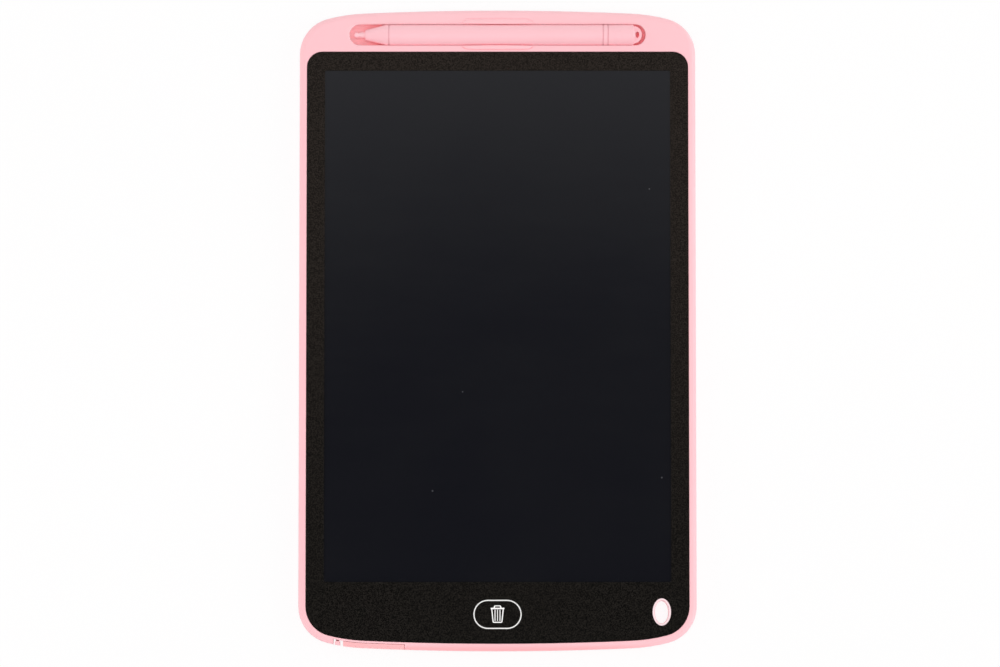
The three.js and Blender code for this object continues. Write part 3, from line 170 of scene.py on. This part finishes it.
# Plain parts: colour, shade, size of the grain, and roughness
FLAT_PARTS = {
    "tape_white": ((232, 230, 224), (222, 219, 211), 0.6 * MM, 0.7),
    "flex_amber": ((201, 138, 53), (184, 120, 42), 1.2 * MM, 0.35),
    "part_black": ((32, 32, 34), (44, 44, 46), 0.25 * MM, 0.6),
    "part_tan": ((181, 154, 120), (168, 140, 106), 0.2 * MM, 0.55),
}
PART_DEPTH = 0.004 * MM
PART_ROUGHNESS_STEPS = (-0.06, 0.08)

# Metals: colour, how much finer the drawn lines are along each axis, and roughness
METALS = {
    "switch_metal": ((206, 207, 208), (1, 6, 1), 0.34),
    "contact_steel": ((214, 208, 190), (6, 1, 1), 0.28),
    "screw_steel": ((190, 190, 192), (1, 1, 5), 0.36),
    "cell_steel": ((212, 213, 214), (1, 8, 1), 0.26),
}
METAL_LINE_SIZE = 0.5 * MM
METAL_LINE_DEPTH = 0.003 * MM
METAL_STAIN_SIZE = 6 * MM
METAL_STAIN_RANGE = (0.1, 0.45)
METAL_DARK_SHARE = 0.9
METAL_ROUGHNESS_STEPS = (-0.06, 0.1)

# Circuit board: solder mask over copper tracks, which run like the joints between bricks
MASK_GREENS = ((24, 92, 60), (30, 104, 70))
MASK_GRAIN_SIZE = 0.4 * MM
MASK_GRAIN_SHARE = 0.2
MASK_DEPTH = 0.02 * MM
BOARD_ROUGHNESS = 0.32
TRACK_GREEN = (58, 138, 92)
TRACK_SPACING = 4.5 * MM
TRACK_HALF_WIDTH = 0.45 * MM
TRACK_GAP_SIZE = 7 * MM
TRACK_GAP_RANGE = (0.4, 0.5)
BRICK_WIDTH = 0.5

# Smooth shading: how close points are welded, and the angle from which an edge stays sharp
WELD_DISTANCE = 0.0005 * MM
SHARP_ANGLE = math.radians(32)

# Erase key: the chamfer round its face, and the flange under the film
KEY_CHAMFER = 0.2 * MM
KEY_FLANGE = 1.1 * MM

# White print of the erase key
PRINT_WHITES = ((251, 252, 250), (243, 244, 242))
PRINT_GRAIN_SIZE = 0.25 * MM
PRINT_GRAIN_DEPTH = 0.002 * MM
PRINT_ROUGHNESS = 0.55
PRINT_THICKNESS = 0.03 * MM
RING_STROKE = 0.47 * MM
RING_INSET = 0.02 * MM
RING_STEPS = 24

# Stylus trough: height of the face round it, and its room beside, before and behind the stylus
FACE_HEIGHT = 8 * MM
TROUGH_CLEARANCE = 0.37 * MM
TROUGH_TIP_GAP = 2.1 * MM
TROUGH_TAIL_GAP = 1.8 * MM

# Lining of the trough: its room to the stylus, its overlap with the housing, and its depths
LINING_CLEARANCE = 0.07 * MM
LINING_OVERLAP = 0.02 * MM
LINING_TOP = 0.05 * MM
LINING_EDGE = 0.55 * MM
LINING_FOOT = 1.1 * MM
LINING_STEPS = 48


def linear(colour):
    """Linear RGBA of a colour written as sRGB, 0 to 255."""
    shares = [c / 255 for c in colour]
    return (*[s / 12.92 if s <= 0.04045 else ((s + 0.055) / 1.055) ** 2.4 for s in shares], 1)


def around(middle, steps):
    """The values that lie these steps away from a middle one."""
    return [middle + step for step in steps]


class Nodes:
    """The node tree of a material or world, with short calls for the nodes that this scene uses."""

    # Sockets of a Mix node that blends colours
    MIX_SHARE = 0
    MIX_FIRST = 6
    MIX_SECOND = 7
    MIX_RESULT = 2

    # Where a mask starts to fade, as a share of its reach
    ELLIPSOID_FADE = 0.92
    BOX_FADE = 0.94

    def __init__(self, owner):
        owner.use_nodes = True
        self.tree = owner.node_tree
        self.tree.nodes.clear()

    def add(self, kind, inputs=None, **settings):
        """A new node, each of whose inputs takes a value or the output of another node."""
        node = self.tree.nodes.new(kind)
        for name, value in settings.items():
            setattr(node, name, value)
        for name, value in (inputs or {}).items():
            socket = node.inputs[name]
            if isinstance(value, bpy.types.NodeSocket):
                self.tree.links.new(value, socket)
            else:
                socket.default_value = value
        return node

    def place(self):
        return self.add("ShaderNodeTexCoord").outputs["Object"]

    def axis(self, place, name):
        return self.add("ShaderNodeSeparateXYZ", {0: place}).outputs[name]

    def scaled(self, place, scale):
        """Place times scale; what is drawn on it gets that much finer along each axis."""
        return self.add("ShaderNodeMapping", {"Vector": place, "Scale": scale}).outputs[0]

    def noise(self, place, size, detail=2.0, rough=0.55):
        inputs = {"Vector": place, "Scale": 1 / size, "Detail": detail, "Roughness": rough}
        return self.add("ShaderNodeTexNoise", inputs).outputs["Fac"]

    def cells(self, place, size, feature="F1"):
        inputs = {"Vector": place, "Scale": 1 / size, "Randomness": 1.0}
        return self.add("ShaderNodeTexVoronoi", inputs, feature=feature).outputs["Distance"]

    def math(self, operation, first, second=0.0):
        return self.add("ShaderNodeMath", {0: first, 1: second}, operation=operation).outputs[0]

    def vector(self, operation, *values, output=0):
        node = self.add("ShaderNodeVectorMath", dict(enumerate(values)), operation=operation)
        return node.outputs[output]

    def ramp(self, value, low, high, to_low=0.0, to_high=1.0):
        """Goes smoothly from to_low to to_high while value goes from low to high."""
        inputs = {
            "Value": value,
            "From Min": low,
            "From Max": high,
            "To Min": to_low,
            "To Max": to_high,
        }
        return self.add("ShaderNodeMapRange", inputs, interpolation_type="SMOOTHSTEP").outputs[0]

    def spread(self, noise, to_low=0.0, to_high=1.0):
        """Goes from to_low to to_high over the range that a noise keeps to."""
        return self.ramp(noise, *NOISE_RANGE, to_low, to_high)

    def blend(self, share, first, second):
        """Goes from the first colour to the second while share goes from 0 to 1."""
        inputs = {self.MIX_SHARE: share, self.MIX_FIRST: first, self.MIX_SECOND: second}
        return self.add("ShaderNodeMix", inputs, data_type="RGBA").outputs[self.MIX_RESULT]

    def bump(self, height, depth, under=None):
        """A bumped normal, laid over the one under it if there is one."""
        inputs = {"Height": height, "Distance": depth, "Strength": 1.0}
        if under is not None:
            inputs["Normal"] = under
        return self.add("ShaderNodeBump", inputs).outputs[0]

    def offset(self, place, centre, reach):
        """How far place lies from centre along each axis, in shares of reach."""
        return self.vector("DIVIDE", self.vector("SUBTRACT", place, centre), reach)

    def near(self, place, centre, reach):
        """1 inside an ellipsoid round centre, 0 outside it."""
        away = self.vector("LENGTH", self.offset(place, centre, reach), output="Value")
        return self.ramp(away, self.ELLIPSOID_FADE, 1.0, 1.0, 0.0)

    def within(self, place, centre, reach):
        """1 inside a box round centre, 0 outside it."""
        away = self.vector("ABSOLUTE", self.offset(place, centre, reach))
        across, along, up = (self.axis(away, name) for name in "XYZ")
        largest = self.math("MAXIMUM", self.math("MAXIMUM", across, along), up)
        return self.ramp(largest, self.BOX_FADE, 1.0, 1.0, 0.0)

    def mixed(self, share, first, second):
        """A shader that goes from the first to the second while share goes from 0 to 1."""
        return self.add("ShaderNodeMixShader", {0: share, 1: first, 2: second}).outputs[0]

    def surface(self, inputs):
        shader = self.add("ShaderNodeBsdfPrincipled", inputs)
        self.add("ShaderNodeOutputMaterial", {"Surface": shader.outputs[0]})


def trough_ends():
    """Where the stylus trough starts and ends along X."""
    tip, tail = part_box("pen_nib")[0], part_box("pen_cap")[1]
    return tip.x - TROUGH_TIP_GAP, tail.x + TROUGH_TAIL_GAP


def nib_bay_light_mask(nodes, place):
    """Mask of the painted light: 1 in the open end of the trough, round the nib, fading out under
    the stylus's barrel.
    """
    low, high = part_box("pen_barrel")
    start = trough_ends()[0]
    full, none = (start + share * (low.x - start) for share in NIB_BAY_FADE)
    middle = ((start + none) / 2, (low.y + high.y) / 2, FACE_HEIGHT / 2)
    half_length = (none - start) / 2 + TROUGH_TIP_GAP
    half_width = (high.y - low.y) / 2 + 2 * TROUGH_CLEARANCE
    inside = nodes.within(place, middle, (half_length, half_width, FACE_HEIGHT / 2))
    along = nodes.ramp(nodes.axis(place, "X"), full, none, 1.0, 0.0)
    return nodes.math("MULTIPLY", inside, along)


def shell_painted_shading(nodes, place):
    """The shell's painted shading: a painted highlight on the paler collar, painted light in the
    paler trough end, and painted shade on the deeper lower rim.
    """
    return [
        (nodes.near(place, COLLAR_MIDDLE, COLLAR_REACH), COLLAR_HIGHLIGHT_PINK),
        (nib_bay_light_mask(nodes, place), NIB_BAY_LIGHT_PINK),
        (nodes.ramp(nodes.axis(place, "Y"), *RIM_DEPTHS, RIM_SHADE_SHARE, 0.0), RIM_SHADE_PINK),
    ]


def seam_shade(nodes, place):
    """Painted shade where the stylus's pieces meet."""
    barrel_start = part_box("pen_barrel")[0].x
    ring_start, ring_end = (corner.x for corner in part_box("pen_ring"))
    painted_shading = []
    for seam in (barrel_start, ring_start, ring_end):
        away = nodes.math("ABSOLUTE", nodes.math("SUBTRACT", nodes.axis(place, "X"), seam))
        painted_shading.append((nodes.ramp(away, *SEAM_REACH, 1.0, 0.0), SEAM_SHADE))
    return painted_shading


def moulded(name, colour, shade, roughness=PLASTIC_ROUGHNESS, painted_shading=None):
    """Injection-moulded plastic: a fine spark-eroded skin, faint flow shades and a soft gloss.
    The last argument gives the places where light or shade is painted, as pairs of a share and that
    colour.
    """
    material = bpy.data.materials.new(name)
    nodes = Nodes(material)
    place = nodes.place()
    flow = nodes.noise(place, FLOW_SIZE, detail=3)
    skin = nodes.noise(place, SKIN_SIZE, detail=3, rough=0.6)
    sink = nodes.noise(place, SINK_SIZE, detail=1)
    tone = nodes.blend(nodes.spread(flow), linear(colour), linear(shade))
    tone = nodes.blend(nodes.ramp(skin, *SPECK_RANGE, 0.0, SPECK_SHARE), tone, linear(shade))
    if painted_shading:
        for share, painted_colour in painted_shading(nodes, place):
            tone = nodes.blend(share, tone, linear(painted_colour))
    both = nodes.math("ADD", flow, skin)
    rough = nodes.ramp(both, *NOISE_SUM_RANGE, *around(roughness, PLASTIC_ROUGHNESS_STEPS))
    normal = nodes.bump(skin, SKIN_DEPTH, nodes.bump(sink, SINK_DEPTH))
    nodes.surface({"Base Color": tone, "Roughness": rough, "Normal": normal, "IOR": PLASTIC_IOR})
    return material


def film(name):
    """Matt black film with an embossed leather-like grain, a little paler towards the stylus as a
    painted reflection.
    """
    material = bpy.data.materials.new(name)
    nodes = Nodes(material)
    place = nodes.place()
    pebbles = nodes.cells(place, FILM_GRAIN_SIZE, "SMOOTH_F1")
    grain = nodes.noise(place, FILM_GRAIN_SIZE, detail=3, rough=0.7)
    patches = nodes.noise(place, FILM_PATCH_SIZE)
    pebbles = nodes.ramp(pebbles, *FILM_PEBBLE_RANGE)
    height = nodes.math("ADD", pebbles, nodes.ramp(grain, *FILM_GRAIN_RANGE))
    # Painted reflection: the film gets paler from the key's end to the stylus's end
    along = nodes.ramp(nodes.axis(place, "Y"), *FILM_REFLECTION_ENDS)
    dark = nodes.blend(along, *map(linear, FILM_DARK))
    pale = nodes.blend(along, *map(linear, FILM_PALE))
    grains = nodes.math("MULTIPLY", grain, 1 - FILM_PATCH_SHARE)
    mottle = nodes.math("ADD", grains, nodes.math("MULTIPLY", patches, FILM_PATCH_SHARE))
    tone = nodes.blend(nodes.ramp(mottle, *FILM_MOTTLE_RANGE), dark, pale)
    glints = nodes.ramp(grain, *FILM_GLINT_RANGE, 0.0, FILM_GLINT_SHARE)
    nodes.surface(
        {
            "Base Color": nodes.blend(glints, tone, linear(FILM_GLINT)),
            "Roughness": nodes.spread(grain, *FILM_ROUGHNESS),
            "Normal": nodes.bump(height, FILM_DEPTH),
            "Specular IOR Level": FILM_SPECULAR,
        }
    )
    return material


def screen(name):
    """The writing laminate: smooth, nearly black, with a cool cast, a slow ripple and fine dust."""
    material = bpy.data.materials.new(name)
    nodes = Nodes(material)
    place = nodes.place()
    cloud = nodes.ramp(nodes.noise(place, SCREEN_CLOUD_SIZE), *SCREEN_CLOUD_RANGE)
    tone = nodes.blend(cloud, linear(SCREEN_TONE), linear(SCREEN_SHADE))
    dust = nodes.ramp(nodes.cells(place, DUST_PITCH), *DUST_EDGES, DUST_SHARE, 0.0)
    fibres = nodes.cells(nodes.scaled(place, LINT_SCALE), LINT_PITCH)
    lint = nodes.ramp(fibres, *LINT_EDGES, LINT_SHARE, 0.0)
    wipe = nodes.noise(nodes.scaled(place, WIPE_SCALE), WIPE_SIZE, detail=4, rough=0.7)
    ripple = nodes.noise(place, RIPPLE_SIZE, detail=1)
    nodes.surface(
        {
            "Base Color": nodes.blend(nodes.math("MAXIMUM", dust, lint), tone, linear(DUST_GREY)),
            "Roughness": nodes.ramp(wipe, *WIPE_RANGE, *WIPE_ROUGHNESS),
            "Normal": nodes.bump(ripple, RIPPLE_DEPTH),
            "Specular IOR Level": SCREEN_SPECULAR,
        }
    )
    return material


def metal(name, colour, scale, roughness):
    """Brushed or rolled sheet metal, with lines that are finer along an axis by scale."""
    material = bpy.data.materials.new(name)
    nodes = Nodes(material)
    place = nodes.place()
    lines = nodes.noise(nodes.scaled(place, scale), METAL_LINE_SIZE, detail=4, rough=0.7)
    stain = nodes.math("MULTIPLY", lines, nodes.noise(place, METAL_STAIN_SIZE))
    dark = tuple(METAL_DARK_SHARE * c for c in colour)
    tone = nodes.blend(nodes.ramp(stain, *METAL_STAIN_RANGE), linear(dark), linear(colour))
    rough = nodes.spread(lines, *around(roughness, METAL_ROUGHNESS_STEPS))
    normal = nodes.bump(lines, METAL_LINE_DEPTH)
    nodes.surface({"Base Color": tone, "Roughness": rough, "Normal": normal, "Metallic": 1.0})
    return material


def flat_part(name, colour, shade, size, roughness, depth=PART_DEPTH):
    """A small plain part: two close shades in a fine grain."""
    material = bpy.data.materials.new(name)
    nodes = Nodes(material)
    grain = nodes.noise(nodes.place(), size, detail=3, rough=0.6)
    tone = nodes.blend(nodes.spread(grain), linear(colour), linear(shade))
    rough = nodes.spread(grain, *around(roughness, PART_ROUGHNESS_STEPS))
    nodes.surface({"Base Color": tone, "Roughness": rough, "Normal": nodes.bump(grain, depth)})
    return material


def board(name):
    """Green solder mask over copper tracks that run at right angles and have gaps."""
    material = bpy.data.materials.new(name)
    nodes = Nodes(material)
    place = nodes.place()
    scale = BRICK_WIDTH / TRACK_SPACING
    inputs = {
        "Vector": place,
        "Scale": scale,
        "Mortar Size": TRACK_HALF_WIDTH * scale,
        "Brick Width": BRICK_WIDTH,
    }
    tracks = nodes.add("ShaderNodeTexBrick", inputs).outputs["Fac"]
    gaps = nodes.ramp(nodes.noise(place, TRACK_GAP_SIZE, detail=1), *TRACK_GAP_RANGE)
    copper = nodes.math("MULTIPLY", tracks, gaps)
    grain = nodes.noise(place, MASK_GRAIN_SIZE)
    mask = nodes.blend(nodes.spread(grain), *map(linear, MASK_GREENS))
    height = nodes.math("ADD", copper, nodes.math("MULTIPLY", grain, MASK_GRAIN_SHARE))
    nodes.surface(
        {
            "Base Color": nodes.blend(copper, mask, linear(TRACK_GREEN)),
            "Roughness": BOARD_ROUGHNESS,
            "Normal": nodes.bump(height, MASK_DEPTH),
        }
    )
    return material


MATERIALS = {
    "shell_pink": moulded("shell_pink", *SHELL_PINKS, painted_shading=shell_painted_shading),
    "pen_pink": moulded("pen_pink", *PEN_PINKS, PEN_ROUGHNESS, seam_shade),
    "film_black": film("film_black"),
    "lcd_dark": screen("lcd_dark"),
    "board_green": board("board_green"),
    **{name: flat_part(name, *look) for name, look in FLAT_PARTS.items()},
    **{name: metal(name, *look) for name, look in METALS.items()},
}

# Nodes of the same plastic that came from another shot, and so are a tone apart
OTHER_SHOTS = {
    "battery_tray": moulded("tray_pink", *TRAY_PINKS),
    "tray_latch": moulded("latch_pink", *LATCH_PINKS),
    "pen_nib": moulded("nib_pink", *NIB_PINKS, NIB_ROUGHNESS),
}

# Materials of this script's own pieces
# The lining's pale pink is painted light in the shade of the trough's crevice
LINING = moulded("lining_pink", *LINING_LIGHT_PINKS)
INK = flat_part("print_white", *PRINT_WHITES, PRINT_GRAIN_SIZE, PRINT_ROUGHNESS, PRINT_GRAIN_DEPTH)


def shading_group():
    """Geometry nodes that weld a node's triangles and shade all but its sharp edges smooth."""
    group = bpy.data.node_groups.new("smooth_by_angle", "GeometryNodeTree")
    group.is_modifier = True
    for way in ("INPUT", "OUTPUT"):
        group.interface.new_socket("Geometry", in_out=way, socket_type="NodeSocketGeometry")
    add = group.nodes.new
    entry, result = add("NodeGroupInput"), add("NodeGroupOutput")
    weld = add("GeometryNodeMergeByDistance")
    weld.inputs["Distance"].default_value = WELD_DISTANCE
    clear = add("GeometryNodeRemoveAttribute")
    clear.inputs["Name"].default_value = "custom_normal"
    faces = add("GeometryNodeSetShadeSmooth")
    faces.domain = "FACE"
    edges = add("GeometryNodeSetShadeSmooth")
    edges.domain = "EDGE"
    edges.inputs["Shade Smooth"].default_value = False
    angle = add("GeometryNodeInputMeshEdgeAngle")
    sharp = add("FunctionNodeCompare")
    sharp.operation = "GREATER_THAN"
    sharp.inputs["B"].default_value = SHARP_ANGLE
    chain = [entry, weld, clear, faces, edges, result]
    for before, after in zip(chain, chain[1:]):
        group.links.new(before.outputs[0], after.inputs[0])
    group.links.new(angle.outputs["Unsigned Angle"], sharp.inputs["A"])
    group.links.new(sharp.outputs[0], edges.inputs["Selection"])
    return group


def dress_nodes():
    """Every CAD node gets its slot's material and smooth shading over its flat-faceted mesh."""
    group = shading_group()
    for name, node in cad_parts.items():
        slot = node.material_slots[0]
        slot.material = OTHER_SHOTS.get(name) or MATERIALS[slot.material.name.split(".")[0]]
        smooth = node.modifiers.new("smooth_by_angle", "NODES")
        smooth.node_group = group
        weighted = node.modifiers.new("weighted", "WEIGHTED_NORMAL")
        weighted.keep_sharp = True
        weighted.mode = "FACE_AREA"


def put(name, data):
    """A new object in the scene."""
    thing = bpy.data.objects.new(name, data)
    bpy.context.scene.collection.objects.link(thing)
    return thing


def stadium(length, width, steps):
    """Points round a slot shape along X, anticlockwise, with so many steps round each end."""
    radius = width / 2
    reach = length / 2 - radius
    points = []
    for side in (1, -1):
        for i in range(steps + 1):
            angle = math.pi * (i / steps - side / 2)
            points.append((side * reach + radius * math.cos(angle), radius * math.sin(angle)))
    return points


def lofted(name, rings, material):
    """A closed band through rings of points, the last one joined to the first."""
    mesh = bmesh.new()
    rows = [[mesh.verts.new(p) for p in ring] for ring in rings]
    count = len(rows[0])
    for row, after in zip(rows, rows[1:] + rows[:1]):
        for i in range(count):
            j = (i + 1) % count
            mesh.faces.new((row[i], row[j], after[j], after[i]))
    bmesh.ops.recalc_face_normals(mesh, faces=mesh.faces)
    data = bpy.data.meshes.new(name)
    mesh.to_mesh(data)
    mesh.free()
    data.materials.append(material)
    return put(name, data)


def key_face():
    """Middle, length and width of the part of the erase key that shows in the film."""
    low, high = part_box("erase_key")
    middle = Vector(((low.x + high.x) / 2, (low.y + high.y) / 2, high.z))
    return middle, high.x - low.x - 2 * KEY_FLANGE, high.y - low.y - 2 * KEY_FLANGE


def key_ring():
    """The white outline, printed round the key's edge and over its small chamfer."""
    middle, length, width = key_face()

    def ring(inset, height):
        outline = stadium(length - 2 * inset, width - 2 * inset, RING_STEPS)
        return [middle + Vector((x, y, height)) for x, y in outline]

    rings = [
        ring(RING_INSET, -KEY_CHAMFER),
        ring(KEY_CHAMFER, 0),
        ring(RING_STROKE, 0),
        ring(RING_STROKE, PRINT_THICKNESS),
        ring(KEY_CHAMFER - PRINT_THICKNESS / 2, PRINT_THICKNESS),
        ring(-PRINT_THICKNESS, -KEY_CHAMFER + PRINT_THICKNESS / 2),
    ]
    piece = lofted("key_outline", rings, INK)
    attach(piece, "erase_key")


def trough_lining():
    """A slanted lining round the trough's edge, which the stylus lies close to."""
    left, right = trough_ends()
    low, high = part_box("pen_barrel")
    middle = Vector(((left + right) / 2, (low.y + high.y) / 2, FACE_HEIGHT))
    length = right - left - 2 * TROUGH_CLEARANCE
    width = high.y - low.y

    def ring(grow, depth):
        outline = stadium(length + 2 * grow, width + 2 * grow, LINING_STEPS)
        return [middle + Vector((x, y, -depth)) for x, y in outline]

    outer = TROUGH_CLEARANCE + LINING_OVERLAP
    rings = [
        ring(outer, LINING_TOP),
        ring(LINING_CLEARANCE, LINING_EDGE),
        ring(LINING_CLEARANCE, LINING_FOOT),
        ring(outer, LINING_FOOT),
    ]
    piece = lofted("trough_lining", rings, LINING)
    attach(piece, "housing")


def mirrored(left):
    """A closed outline, from the points of its left half."""
    return left + [(-x, y) for x, y in reversed(left)]


def bin_outlines():
    """The bin pictogram in mm: lid and handle, a tapered body, and three bars."""
    lid_half, lid_top, lid_low = 2.72, 2.66, 2.06
    handle_foot, handle_top, handle_high = 1.66, 1.32, 3.6
    grip_foot, grip_top, grip_high = 1.03, 0.915, 3.222
    body_top, body_foot, body_low = 2.52, 2.0, -3.38
    bar_half, bar_high, bar_low, bar_step = 0.175, 1.85, -2.6, 1.0
    stroke, corner = 0.45, 0.5
    outer = [
        (-handle_top + corner / 3, handle_high),
        (-handle_top, handle_high - corner / 3),
        (-handle_foot, lid_top),
        (-lid_half, lid_top),
        (-lid_half, lid_low),
        (-body_top, lid_low),
        (-body_foot, body_low + corner),
        (-body_foot + corner / 3, body_low + corner / 4),
        (-body_foot + corner, body_low),
    ]
    inner = [(-body_top + stroke, lid_low), (-body_foot + stroke, body_low + stroke)]
    grip = [(-grip_top, grip_high), (-grip_foot, lid_top)]
    bars = [
        [
            (x - bar_half, bar_low),
            (x + bar_half, bar_low),
            (x + bar_half, bar_high),
            (x - bar_half, bar_high),
        ]
        for x in (-bar_step, 0, bar_step)
    ]
    return [mirrored(outer), mirrored(inner), mirrored(grip), *bars]


def bin_sign():
    """The bin pictogram as one flat print on the erase key."""
    curve = bpy.data.curves.new("bin_sign", "CURVE")
    curve.dimensions = "2D"
    curve.fill_mode = "BOTH"
    curve.extrude = PRINT_THICKNESS / 2
    for points in bin_outlines():
        spline = curve.splines.new("POLY")
        spline.points.add(len(points) - 1)
        for point, (x, y) in zip(spline.points, points):
            point.co = (x * MM, y * MM, 0, 1)
        spline.use_cyclic_u = True
    curve.materials.append(INK)
    piece = put("bin_sign", curve)
    piece.location = key_face()[0] + Vector((0, 0, PRINT_THICKNESS / 2))
    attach(piece, "erase_key")


def make_floor():
    """A floor that mostly glows to the camera, so that it is white and keeps a faint shadow."""
    bpy.ops.mesh.primitive_plane_add(size=FLOOR_SIZE, location=(0, 0, -FLOOR_DROP))
    floor = bpy.context.object
    floor.name = "floor"
    material = bpy.data.materials.new("floor")
    nodes = Nodes(material)
    cloud = nodes.spread(nodes.noise(nodes.place(), FLOOR_CLOUD_SIZE))
    colour = nodes.blend(cloud, linear(FLOOR_COLOUR), linear(FLOOR_SHADE))
    matt = nodes.add("ShaderNodeBsdfDiffuse", {"Color": colour}).outputs[0]
    glow = nodes.add("ShaderNodeEmission", {"Color": WHITE, "Strength": 1.0}).outputs[0]
    rays = nodes.add("ShaderNodeLightPath").outputs
    seen = nodes.math("MAXIMUM", rays["Is Camera Ray"], rays["Is Glossy Ray"])
    seen = nodes.math("MAXIMUM", seen, rays["Is Transmission Ray"])
    surface = nodes.mixed(nodes.math("MULTIPLY", seen, FLOOR_GLOW_SHARE), matt, glow)
    nodes.add("ShaderNodeOutputMaterial", {"Surface": surface})
    floor.data.materials.append(material)


def make_sky():
    """The tent that lights the tablet: even, but brighter at its sides and ends, warmer at its
    front, and dark in a round opening overhead, where the camera stands. To the camera, it is a
    white backdrop behind the floor.
    """
    world = bpy.data.worlds.new("studio")
    bpy.context.scene.world = world
    nodes = Nodes(world)
    way = nodes.add("ShaderNodeTexCoord").outputs["Generated"]
    across, along = nodes.axis(way, "X"), nodes.axis(way, "Y")
    middle = Vector(SKY_OPENING_MIDDLE).normalized()
    closeness = nodes.vector("DOT_PRODUCT", way, middle, output="Value")
    levels = (SKY_LEVEL, SKY_LEVEL * SKY_OPENING_SHARE)
    level = nodes.ramp(closeness, *SKY_OPENING_EDGES, *levels)
    leftward = nodes.math("MULTIPLY", across, -1.0)
    right = nodes.ramp(across, *SKY_SIDE_EDGES, 1.0, 1 + SKY_RIGHT_GAIN)
    left = nodes.ramp(leftward, *SKY_SIDE_EDGES, 1.0, 1 + SKY_LEFT_GAIN)
    ends = nodes.ramp(nodes.math("ABSOLUTE", along), *SKY_END_EDGES, 1.0, 1 + SKY_END_GAIN)
    gain = nodes.math("MULTIPLY", nodes.math("MULTIPLY", right, left), ends)
    front = nodes.ramp(along, *SKY_FRONT_EDGES, 1.0, 0.0)
    colour = nodes.blend(front, WHITE, SKY_FRONT_COLOUR)
    inputs = {"Color": colour, "Strength": nodes.math("MULTIPLY", level, gain)}
    tent = nodes.add("ShaderNodeBackground", inputs).outputs[0]
    backdrop = nodes.add("ShaderNodeBackground", {"Color": WHITE, "Strength": 1.0}).outputs[0]
    seen = nodes.add("ShaderNodeLightPath").outputs["Is Camera Ray"]
    nodes.add("ShaderNodeOutputWorld", {"Surface": nodes.mixed(seen, tent, backdrop)})


def make_lamps():
    for name, (place, power, is_mirrored) in LAMPS.items():
        light = bpy.data.lights.new(name, "AREA")
        light.energy = power
        light.size = LAMP_SIZE
        lamp = put(name, light)
        lamp.location = place
        lamp.rotation_euler = Vector(place).to_track_quat("Z", "Y").to_euler()
        lamp.visible_glossy = is_mirrored


def make_camera():
    data = bpy.data.cameras.new("camera")
    data.lens = CAMERA_LENS
    data.sensor_width = CAMERA_SENSOR
    data.clip_start = CAMERA_NEAR
    data.clip_end = CAMERA_FAR
    camera = put("camera", data)
    camera.location = CAMERA_PLACE
    camera.rotation_euler = (CAMERA_LEAN, 0, 0)
    bpy.context.scene.camera = camera


dress_nodes()
key_ring()
trough_lining()
bin_sign()
make_floor()
make_sky()
make_lamps()
make_camera()
bpy.context.scene.view_settings.view_transform = "Standard"
bpy.context.scene.cycles.max_bounces = LIGHT_BOUNCES
bpy.context.scene.cycles.diffuse_bounces = LIGHT_BOUNCES
